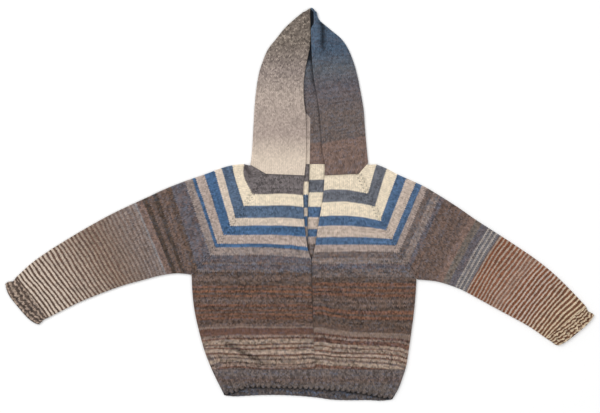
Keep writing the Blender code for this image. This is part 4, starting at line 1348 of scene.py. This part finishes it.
class Nodes:
    """A material's node tree."""

    def __init__(self, name: str) -> None:
        """Makes a material with an empty tree."""
        self.material = bpy.data.materials.new(name)
        self.material.use_nodes = True
        self.tree = self.material.node_tree
        self.tree.nodes.clear()

    def add(
        self,
        kind: str,
        settings: dict[str, Any] | None = None,
        values: dict[Any, Any] | None = None,
    ) -> bpy.types.Node:
        """Adds a node.

        Args:
            kind: The node's type.
            settings: Its settings, and for a ramp its stops, which are set first.
            values: Numbers or links for its sockets, by name or number.

        Returns:
            The node.
        """
        node = self.tree.nodes.new(kind)
        for label, setting in (settings or {}).items():
            if label == "stops":
                self._set_stops(node.color_ramp, setting)
            elif label == "interpolation":
                node.color_ramp.interpolation = setting
            else:
                setattr(node, label, setting)
        for label, value in (values or {}).items():
            socket = node.inputs[label]
            if isinstance(value, Value):
                self.tree.links.new(value.socket, socket)
            elif isinstance(value, bpy.types.NodeSocket):
                self.tree.links.new(value, socket)
            else:
                socket.default_value = value
        return node

    def _set_stops(self, ramp: bpy.types.ColorRamp, stops: Sequence[tuple[float, Any]]) -> None:
        """Gives a ramp its stops, in rising order."""
        ramp.elements.remove(ramp.elements[1])
        ramp.elements[0].position, ramp.elements[0].color = stops[0]
        for position, colour in stops[1:]:
            ramp.elements.new(position).color = colour

    def number(
        self, kind: str, settings: dict[str, Any], values: dict[Any, Any], out: Any
    ) -> Value:
        """Adds a node and takes one of its outputs as a value."""
        return Value(self, self.add(kind, settings, values).outputs[out])

    def vector(self, x: Any = 0.0, y: Any = 0.0, z: Any = 0.0) -> bpy.types.NodeSocket:
        """Joins three numbers."""
        return self.add("ShaderNodeCombineXYZ", {}, {0: x, 1: y, 2: z}).outputs[0]

    def parts(self, vector: bpy.types.NodeSocket) -> list[Value]:
        """Splits a vector or colour into its three numbers."""
        split = self.add("ShaderNodeSeparateXYZ", {}, {0: vector})
        return [Value(self, out) for out in split.outputs]

    def attribute(self, name: str) -> Value:
        """Reads a number that a mesh carries at its points."""
        return self.number("ShaderNodeAttribute", {"attribute_name": name}, {}, "Fac")

    def noise(self, x: Any, y: Any, seed: float, detail: float = 1.0) -> Value:
        """Cloudy noise over two numbers, with one cloud to a unit."""
        values = {"Vector": self.vector(x, y, seed), "Scale": 1.0, "Detail": detail}
        return self.number("ShaderNodeTexNoise", {}, values, 0)

    def blend(self, a: Any, b: Any, share: Any) -> bpy.types.NodeSocket:
        """Mixes two colours."""
        kind = {"data_type": "RGBA", "blend_type": "MIX"}
        return self.add("ShaderNodeMix", kind, {0: share, 6: a, 7: b}).outputs[2]

    def scaled(self, colour: bpy.types.NodeSocket, factor: Value) -> bpy.types.NodeSocket:
        """A colour made lighter or darker."""
        values = {0: colour, "Scale": factor}
        return self.add("ShaderNodeVectorMath", {"operation": "SCALE"}, values).outputs[0]

    def run(self, at: Value, knots: Run) -> Value | float:
        """A number that runs straight between knots, which are given by falling places."""
        if len(knots) == 1:
            return knots[0][1]
        knots = knots[::-1]
        low, high = knots[0][0], knots[-1][0]
        stops = [((place - low) / (high - low), (value,) * 3 + (1.0,)) for place, value in knots]
        share = (at - low) / (high - low)
        return self.number("ShaderNodeValToRGB", {"stops": stops}, {0: share}, 0)

    def stripes(self, at: Value, table: Stripes, soft: bool) -> bpy.types.NodeSocket:
        """The yarn's colour at a height of the knitting.

        Ramps are chained, because one holds no more than 32 stops.

        Args:
            at: The height in millimetres.
            table: Each stripe's lower edge and yarn, from the top down.
            soft: Whether the colours run into each other.

        Returns:
            The colour's socket.
        """
        rows = table[::-1]
        colour = None
        for first in range(0, len(rows), RAMP_STOPS):
            part = rows[first : first + RAMP_STOPS]
            low, high = part[0][0], part[-1][0] + 1.0
            stops = [((edge - low) / (high - low), yarn.colour) for edge, yarn in part]
            kind = {"stops": stops, "interpolation": "LINEAR" if soft else "CONSTANT"}
            ramp = self.add("ShaderNodeValToRGB", kind, {0: (at - low) / (high - low)}).outputs[0]
            above = at.math("GREATER_THAN", low) if colour else None
            colour = self.blend(colour, ramp, above) if colour else ramp
        return colour


@dataclass(frozen=True)
class FineStripes:
    """Stripes of one or two rows, dark on light, that take over below a height.

    Args:
        top: The height below which they start.
        pitch: From one dark stripe to the next.
        dark: The dark yarns, at falling heights.
        light: The light yarns, at falling heights.
        strength: How clearly they show, at falling heights.
        width: The dark stripes' share of the pitch.
        wander: How far they wander, in millimetres.
        ragged: How unevenly wide they are, as a share of the pitch.
    """

    top: float
    pitch: float
    dark: Stripes
    light: Stripes
    strength: Run = ((0.0, 1.0),)
    width: float = 0.5
    wander: float = 3.0
    ragged: float = 0.3


ZIGZAG = 0.85  # how far a stitch's two legs run up beside its middle, in rows
CELLS = 1.25  # changes of wool to a stitch
CELL_SHIFT = 0.37  # how far each row's changes are shifted
PLY_WEIGHT = 1.25  # how much each stitch's own lightness counts
PATCH_WEIGHT = 2.4  # how much the tint of a few stitches together counts, to each one's own
MARK_PITCH = 2 * ROW  # from one mark along the raglan seam to the next
# painted shade in the small holes along the raglan seam
MARK_PAINTED_SHADE = 0.5
RELIEF = 0.0009  # height of the stitches, in metres


@dataclass(frozen=True)
class Knitting:
    """A wool finish: stripes, marl and the relief of the stitches.

    Args:
        name: The finish's name.
        stripes: Each stripe's lower edge and yarn, from the top down.
        soft: Whether the colours run into each other.
        spread: How much the stitches differ in lightness, at falling heights.
        tint: How much of the cool and warm wools shows, at falling heights.
        cool: The cool wool of the marl.
        warm: The warm wool of the marl.
        fine: Fine stripes below the others.
        wander: How far the stripes' edges wander, in millimetres.
        ribbed: Whether the piece carries its ribs' height.
        raglan: Whether the piece carries its distance from the raglan seam.
        grain: Changes of lightness along a row, to a stitch.
        lines: How much whole rows differ in lightness.
        seed: Shifts the noise.
    """

    name: str
    stripes: Stripes
    soft: bool = False
    spread: Run = ((0.0, 0.5),)
    tint: Run = ((0.0, 0.0),)
    cool: Yarn = Yarn.SLATE
    warm: Yarn = Yarn.COPPER
    fine: FineStripes | None = None
    wander: float = 1.2
    ribbed: bool = False
    raglan: bool = False
    grain: float = 0.3
    lines: float = 0.5
    seed: float = 0.0

    def material(self) -> bpy.types.Material:
        """Builds the nodes.

        A stitch is a V of two legs, so a row's edge is a zigzag: the row's number is the height
        over a row's height, less a share of the distance from the stitch's middle. Each stitch
        has its own lightness and tint, because the wool is twisted from plies of different
        colours, a run of a few stitches shares some of it, and whole rows differ a little too.
        Legs and rows stand up from the gaps between them, which are painted darker as shade.
        """
        n = Nodes(self.name)
        u, v, _ = n.parts(n.add("ShaderNodeUVMap", {"uv_map": "knit"}).outputs[0])
        side = (u.math("FRACT") * 2.0 - 1.0).math("ABSOLUTE")
        lean = v / ROW + (0.8 - side) * ZIGZAG
        course = lean.math("FLOOR")
        across_row = (u * CELLS + course * CELL_SHIFT).math("FLOOR")
        cell = n.vector(across_row, course, self.seed)
        dice = n.add("ShaderNodeTexWhiteNoise", {"noise_dimensions": "3D"}, {0: cell})
        ply, hue, _ = n.parts(dice.outputs[1])
        strand = n.noise(u * self.grain, course * 3.7, self.seed + 5.0)
        length = n.noise(u * 0.045, course * 2.9, self.seed + 11.0)
        patch = n.noise(u * 0.22, course * 1.3, self.seed + 7.0)
        clouds = n.noise(u * 0.055, v * 0.012, self.seed + 9.0, 2.0)
        wander = (n.noise(u * 0.12, v * 0.03, self.seed + 2.0, 2.0) - 0.5) * (4.0 * self.wander)
        at = lean * ROW + wander

        colour = n.stripes(at, self.stripes, self.soft)
        if self.fine:
            shift = n.attribute("rib") * (0.2 * self.fine.pitch) if self.ribbed else 0.0
            colour = self._fine(n, colour, v + wander - side * (0.15 * ROW) + shift, u)
        tint = (hue - 0.5 + (patch - 0.5) * PATCH_WEIGHT) * n.run(v, self.tint)
        colour = n.blend(colour, self.cool.colour, tint)
        colour = n.blend(colour, self.warm.colour, tint * -1.0)
        pale = n.number("ShaderNodeRGBToBW", {}, {0: colour}, 0)

        spread = (1.12 - pale * 1.1) * n.run(v, self.spread)
        wool = (ply - 0.5) * PLY_WEIGHT + (strand - 0.5) + (length - 0.5) * self.lines
        light = 1.0 + spread * wool
        light = light.math("MAXIMUM", 0.3) * (0.94 + clouds * 0.12)
        legs = (u * (2 * math.pi)).math("SINE").math("ABSOLUTE")
        middle = (u * math.pi).math("SINE").math("ABSOLUTE")
        rows = (lean.math("FRACT") * math.pi).math("SINE")
        height = (legs * 0.6 + middle * 0.4) * (rows * 0.6 + 0.4)
        # Painted shade between the legs and rows, and the mesh's painted shade and light of
        # creases, seams, hollows and edges.
        light = light * (0.75 + height * 0.42) * n.attribute("shade")
        # Painted shade in the rib valleys.
        if self.ribbed:
            light = light * (0.8 + n.attribute("rib") * 0.24)
        # Painted shade in the small holes of the increases along the raglan seam.
        if self.raglan:
            seam = n.attribute("raglan")
            near = 1.0 - (seam - RAGLAN_MARKS).math("ABSOLUTE").step(0.8, 2.6)
            hole = (v * (2 * math.pi / MARK_PITCH)).math("SINE").step(0.0, 0.8)
            light = light * (1.0 - near * hole * MARK_PAINTED_SHADE)
        colour = n.scaled(colour, light)
        relief = {"Strength": 0.7, "Distance": RELIEF, "Height": height}
        values = {
            "Base Color": colour,
            "Roughness": 0.95,
            "Specular IOR Level": 0.12,
            "Sheen Weight": 0.05,
            "Sheen Roughness": 0.6,
            "Normal": n.add("ShaderNodeBump", {}, relief).outputs[0],
        }
        shader = n.add("ShaderNodeBsdfPrincipled", {}, values)
        n.add("ShaderNodeOutputMaterial", {}, {0: shader.outputs[0]})
        return n.material

    def _fine(
        self, n: Nodes, colour: bpy.types.NodeSocket, at: Value, u: Value
    ) -> bpy.types.NodeSocket:
        """Lays the fine stripes: a wave over the height, cut softly to dark and light bands."""
        fine = self.fine
        sway = (n.noise(u * 0.06, at * 0.02, self.seed + 3.0, 2.0) - 0.5) * (2 * fine.wander)
        wave = ((at + sway) / fine.pitch).math("FRACT")
        ragged = (n.noise(u * 0.6, at * 0.3, self.seed + 4.0) - 0.5) * fine.ragged
        band = (wave - 0.5).math("ABSOLUTE") + ragged
        dark = 1.0 - band.step(fine.width / 2 - 0.1, fine.width / 2 + 0.1)
        dark = (dark - 0.5) * n.run(at, fine.strength) + 0.5
        lines = n.blend(n.stripes(at, fine.light, True), n.stripes(at, fine.dark, True), dark)
        return n.blend(lines, colour, at.step(fine.top - 2.0, fine.top + 2.0))


BODY_STRIPES = {
    Side.LEFT: (
        (465, Yarn.IRON), (438, Yarn.CREAM), (411, Yarn.SLATE), (394, Yarn.MILK),
        (373, Yarn.DENIM), (353, Yarn.FAWN), (345, Yarn.DENIM), (328, Yarn.STONE),
        (312, Yarn.DUSK), (307, Yarn.SMOKE), (295, Yarn.DUSK), (290, Yarn.SMOKE),
        (281, Yarn.COCOA), (270, Yarn.WALNUT), (259, Yarn.COCOA), (254, Yarn.RUST),
        (249, Yarn.BARK), (243.5, Yarn.COPPER), (238, Yarn.COCOA), (234, Yarn.RUST),
        (229, Yarn.BARK), (223, Yarn.WALNUT), (217, Yarn.BARK), (212, Yarn.RUST),
        (205, Yarn.BARK), (202, Yarn.RUST), (196, Yarn.BARK), (192, Yarn.RUST),
        (187, Yarn.UMBER), (183, Yarn.RUST), (173, Yarn.BARK), (166.3, Yarn.WALNUT),
        (162.7, Yarn.TAUPE), (148.7, Yarn.CHESTNUT), (143.3, Yarn.TAUPE), (139.7, Yarn.HAZEL),
        (129.8, Yarn.PEBBLE), (125.8, Yarn.HAZEL), (120.4, Yarn.PEBBLE), (115.2, Yarn.HAZEL),
        (110.2, Yarn.PEBBLE), (103.5, Yarn.OAT), (99, Yarn.HAZEL), (94.5, Yarn.PEBBLE),
        (90, Yarn.WALNUT), (84, Yarn.PEBBLE), (80.3, Yarn.WALNUT), (73.5, Yarn.TAUPE),
        (68.6, Yarn.HAZEL), (0, Yarn.ASH),
    ),
    Side.RIGHT: (
        (474, Yarn.CREAM), (447, Yarn.GRAPHITE), (416, Yarn.CREAM), (393, Yarn.BLUE),
        (368, Yarn.SAND), (351, Yarn.BLUE), (336, Yarn.PUTTY), (321, Yarn.SMOKE),
        (308, Yarn.DRIFT), (297, Yarn.DUSK), (279, Yarn.SMOKE), (266, Yarn.COCOA),
        (258.5, Yarn.RUST), (253, Yarn.BARK), (247.5, Yarn.RUST), (242, Yarn.BARK),
        (236, Yarn.RUST), (231, Yarn.BARK), (226, Yarn.WALNUT), (221, Yarn.COCOA),
        (216, Yarn.WALNUT), (208.5, Yarn.COCOA), (200, Yarn.RUST), (196, Yarn.COCOA),
        (190, Yarn.RUST), (173, Yarn.COCOA), (161.5, Yarn.BARK), (149.7, Yarn.TAUPE),
        (144, Yarn.HAZEL), (139.5, Yarn.TAUPE), (128.3, Yarn.HAZEL), (121.5, Yarn.PEBBLE),
        (119, Yarn.HAZEL), (112.5, Yarn.PEBBLE), (108.5, Yarn.HAZEL), (102.2, Yarn.OAT),
        (98.8, Yarn.HAZEL), (92.3, Yarn.PEBBLE), (88.2, Yarn.WALNUT), (78.8, Yarn.PEBBLE),
        (72.7, Yarn.HAZEL), (61.4, Yarn.TAUPE), (54.7, Yarn.CHESTNUT), (0, Yarn.ASH),
    ),
}
SLEEVE_STRIPES = {
    Side.LEFT: BODY_STRIPES[Side.LEFT][:8]
    + (
        (297, Yarn.DUSK), (286, Yarn.COCOA), (266, Yarn.WALNUT), (257, Yarn.CHARCOAL),
        (247, Yarn.WALNUT), (236, Yarn.CHARCOAL), (222, Yarn.CLAY), (0, Yarn.MIST),
    ),
    Side.RIGHT: BODY_STRIPES[Side.RIGHT][:10]
    + (
        (268, Yarn.WALNUT), (250, Yarn.WALNUT), (236, Yarn.WALNUT), (222, Yarn.CLAY),
        (206, Yarn.BIRCH), (191, Yarn.DUSK), (187, Yarn.PEARL), (181, Yarn.HAZE),
        (177, Yarn.PEARL), (171, Yarn.HAZE), (167, Yarn.PEARL), (0, Yarn.HAZE),
    ),
}
FINE = {
    Side.LEFT: FineStripes(
        216.0, 9.2,
        dark=((200, Yarn.WALNUT), (110, Yarn.CHESTNUT), (-60, Yarn.UMBER), (-200, Yarn.CHARCOAL)),
        light=((200, Yarn.STONE), (110, Yarn.PEBBLE), (-40, Yarn.MILK), (-200, Yarn.MILK)),
        strength=((210, 0.55), (150, 0.6), (90, 0.85), (0, 1.0)), wander=5.0,
    ),
    Side.RIGHT: FineStripes(
        161.0, 8.8,
        dark=((160, Yarn.BRICK), (60, Yarn.BRICK), (-80, Yarn.COCONUT), (-160, Yarn.COCONUT)),
        light=((160, Yarn.OAT), (20, Yarn.SAND), (-60, Yarn.FLAX), (-200, Yarn.FLAX)),
        strength=((160, 1.0), (95, 0.9), (80, 0.6), (60, 1.0), (0, 1.0)), width=0.6, wander=5.0,
    ),
}
HOOD_STRIPES = {
    Side.LEFT: (
        (870, Yarn.BIRCH), (810, Yarn.BIRCH), (740, Yarn.STONE), (690, Yarn.ROSE_GREY),
        (600, Yarn.FAWN), (540, Yarn.WHEY), (500, Yarn.WHEY),
    ),
    Side.RIGHT: (
        (840, Yarn.INDIGO), (790, Yarn.INDIGO), (745, Yarn.STEEL), (700, Yarn.DUSK),
        (640, Yarn.SMOKE), (580, Yarn.SMOKE), (577, Yarn.CLAY), (500, Yarn.CLAY),
    ),
}
HEM_STRIPES = {
    Side.LEFT: (
        (68, Yarn.SMOKE), (58, Yarn.SMOKE), (48, Yarn.WALNUT), (36, Yarn.ASH), (20, Yarn.ASH),
    ),
    Side.RIGHT: ((50, Yarn.ASH), (20, Yarn.LEAD), (0, Yarn.LEAD)),
}


def knitting(part: str, side: Side) -> Knitting:
    """The finish of a kind of piece on one side.

    Of the two hem bands, the front one has the left finish and the back one the right.

    Args:
        part: The piece's name without its side.
        side: Its side.

    Returns:
        The finish.
    """
    left = side is Side.LEFT
    seed = 1.0 if left else 31.0
    label = f"knit_{part}_{side.value}"
    if part in ("front", "back"):
        return Knitting(
            label, BODY_STRIPES[side],
            spread=((345, 0.65), (325, 0.6), (290, 0.75), (170, 0.75), (165, 0.45), (150, 0.45),
                    (145, 0.95), (80, 0.95), (60, 0.8)),
            tint=((345, 0.05), (325, 0.5), (290, 0.5), (280, 0.25), (150, 0.25), (140, 0.32),
                  (60, 0.28)),
            raglan=True, wander=0.8, grain=0.5, lines=1.5, seed=seed,
        )
    if part == "sleeve":
        return Knitting(
            label, SLEEVE_STRIPES[side],
            spread=((345, 0.6), (325, 0.6), (290, 0.65), (220, 0.6), (190, 0.55), (170, 0.45),
                    (-200, 0.45)),
            tint=((345, 0.05), (325, 0.5), (290, 0.35), (220, 0.25), (190, 0.25), (170, 0.12),
                  (-200, 0.08)),
            fine=FINE[side], raglan=True, wander=0.9, grain=0.55, lines=1.0, seed=seed + 60,
        )
    if part == "hood" and left:
        return Knitting(
            label, HOOD_STRIPES[side], soft=True, cool=Yarn.CHARCOAL, warm=Yarn.MILK,
            spread=((860, 0.7), (780, 0.7), (700, 0.6), (600, 0.45), (520, 0.35)),
            tint=((860, 0.5), (780, 0.45), (700, 0.3), (620, 0.14), (520, 0.05)),
            grain=1.1, seed=seed + 90,
        )
    if part == "hood":
        return Knitting(
            label, HOOD_STRIPES[side], soft=True, cool=Yarn.SLATE, warm=Yarn.CHESTNUT,
            spread=((860, 0.5), (520, 0.5)), tint=((860, 0.3), (520, 0.35)), grain=0.7,
            lines=1.6, seed=seed + 90,
        )
    if part == "cuff":
        dark, light = (Yarn.COCOA, Yarn.OAT) if left else (Yarn.COCONUT, Yarn.FLAX)
        fine = FineStripes(
            10.0, 7.0, dark=((0, dark), (-40, dark)), light=((0, light), (-40, light)),
            width=0.6 if left else 0.55, wander=4.0, ragged=1.1,
        )
        return Knitting(
            label, ((20, dark), (0, dark)), spread=((0, 0.8 if left else 0.45),),
            tint=((0, 0.1),), fine=fine, ribbed=True, wander=1.0, seed=seed + 120,
        )
    return Knitting(
        label, HEM_STRIPES[side], soft=True, cool=Yarn.DENIM, warm=Yarn.WALNUT,
        spread=((0, 0.75),), tint=((0, 0.3 if left else 0.5),), grain=0.6, ribbed=True,
        seed=seed + 150,
    )


@dataclass
class Studio:
    """A plain pale floor, soft light and a camera that looks straight down."""

    centre: tuple[float, float] = (0.0006, -0.0048)
    distance: float = 3.0
    frame_width: float = 1.35
    floor_size: float = 9.0
    floor_drop: float = 0.0002
    middle_height: float = 0.005
    sky: float = 0.66

    def build(self) -> None:
        """Makes the floor, the lights, the world and the camera."""
        bpy.context.scene.view_settings.view_transform = "Standard"
        self._floor()
        self._world()
        self._light("window", (-1.7, 1.5, 2.6), 2.2, 60.0)
        self._light("fill", (1.9, -1.2, 2.8), 2.4, 26.0)
        self._camera()

    def _floor(self) -> None:
        """A square floor just under the cloth."""
        half = self.floor_size / 2
        corners = [(-half, -half), (half, -half), (half, half), (-half, half)]
        mesh = bpy.data.meshes.new("floor")
        mesh.from_pydata([(x, y, -self.floor_drop) for x, y in corners], [], [(0, 1, 2, 3)])
        floor = bpy.data.objects.new("floor", mesh)
        bpy.context.scene.collection.objects.link(floor)
        nodes = Nodes("floor_white")
        values = {"Base Color": (0.93, 0.93, 0.93, 1), "Roughness": 0.9, "Specular IOR Level": 0.1}
        shader = nodes.add("ShaderNodeBsdfPrincipled", {}, values)
        nodes.add("ShaderNodeOutputMaterial", {}, {0: shader.outputs[0]})
        mesh.materials.append(nodes.material)

    def _world(self) -> None:
        """An even pale sky."""
        world = bpy.data.worlds.new("sky")
        world.use_nodes = True
        back = world.node_tree.nodes["Background"]
        back.inputs[0].default_value = (1.0, 1.0, 1.0, 1.0)
        back.inputs[1].default_value = self.sky
        bpy.context.scene.world = world

    def _light(
        self, name: str, place: tuple[float, float, float], size: float, power: float
    ) -> None:
        """A square soft light that faces the garment."""
        data = bpy.data.lights.new(name, "AREA")
        data.size, data.energy = size, power
        light = bpy.data.objects.new(name, data)
        light.location = place
        light.rotation_euler = (-Vector(place)).to_track_quat("-Z", "Y").to_euler()
        light.visible_camera = False
        bpy.context.scene.collection.objects.link(light)

    def _camera(self) -> None:
        """A camera straight above, with the image's upright along +Y."""
        data = bpy.data.cameras.new("camera")
        data.sensor_width = 36.0
        data.lens = 36.0 * self.distance / self.frame_width
        camera = bpy.data.objects.new("camera", data)
        camera.location = (*self.centre, self.distance + self.middle_height)
        bpy.context.scene.collection.objects.link(camera)
        bpy.context.scene.camera = camera


@dataclass
class Pullover:
    """All twelve knitted pieces."""

    form: Form = field(default_factory=Form)

    def build(self) -> None:
        """Makes each piece and dresses it."""
        for side in Side:
            s = side.value
            for layer, rests in ((Layer.BACK, []), (Layer.FRONT, [f"back_{s}"])):
                panel = BodyPanel(self.form, side, layer).patch()
                self._piece(f"{layer.value}_{s}", panel, knitting(layer.value, side))
            self._piece(f"sleeve_{s}", Sleeve(self.form, side).patch(), knitting("sleeve", side))
            self._piece(f"hood_{s}", Hood(self.form, side).patch(), knitting("hood", side))
            self._piece(f"cuff_{s}", Cuff(self.form, side).patch(), knitting("cuff", side))
        back, front = Hem(self.form, Layer.BACK).patch(), Hem(self.form, Layer.FRONT).patch()
        self._piece("hem_back", back, knitting("hem", Side.RIGHT))
        self._piece("hem_front", front, knitting("hem", Side.LEFT))

    def _piece(
        self, node: str, patch: Patch, finish: Knitting
    ) -> None:
        """Makes one piece in place of its node.

        Args:
            node: The node that it replaces.
            patch: Its grids.
            finish: Its wool.
        """
        piece = patch.make("knitted_" + node)
        piece.data.materials.append(finish.material())
        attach(piece, "root")
        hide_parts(node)
        LOG.info("%s: %d triangles", piece.name, 2 * len(piece.data.polygons))


def main() -> None:
    """Builds the pullover and its studio."""
    logging.basicConfig(level=logging.INFO, format="%(message)s")
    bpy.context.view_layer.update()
    Pullover().build()
    Studio().build()


if __name__ == "__main__":
    main()
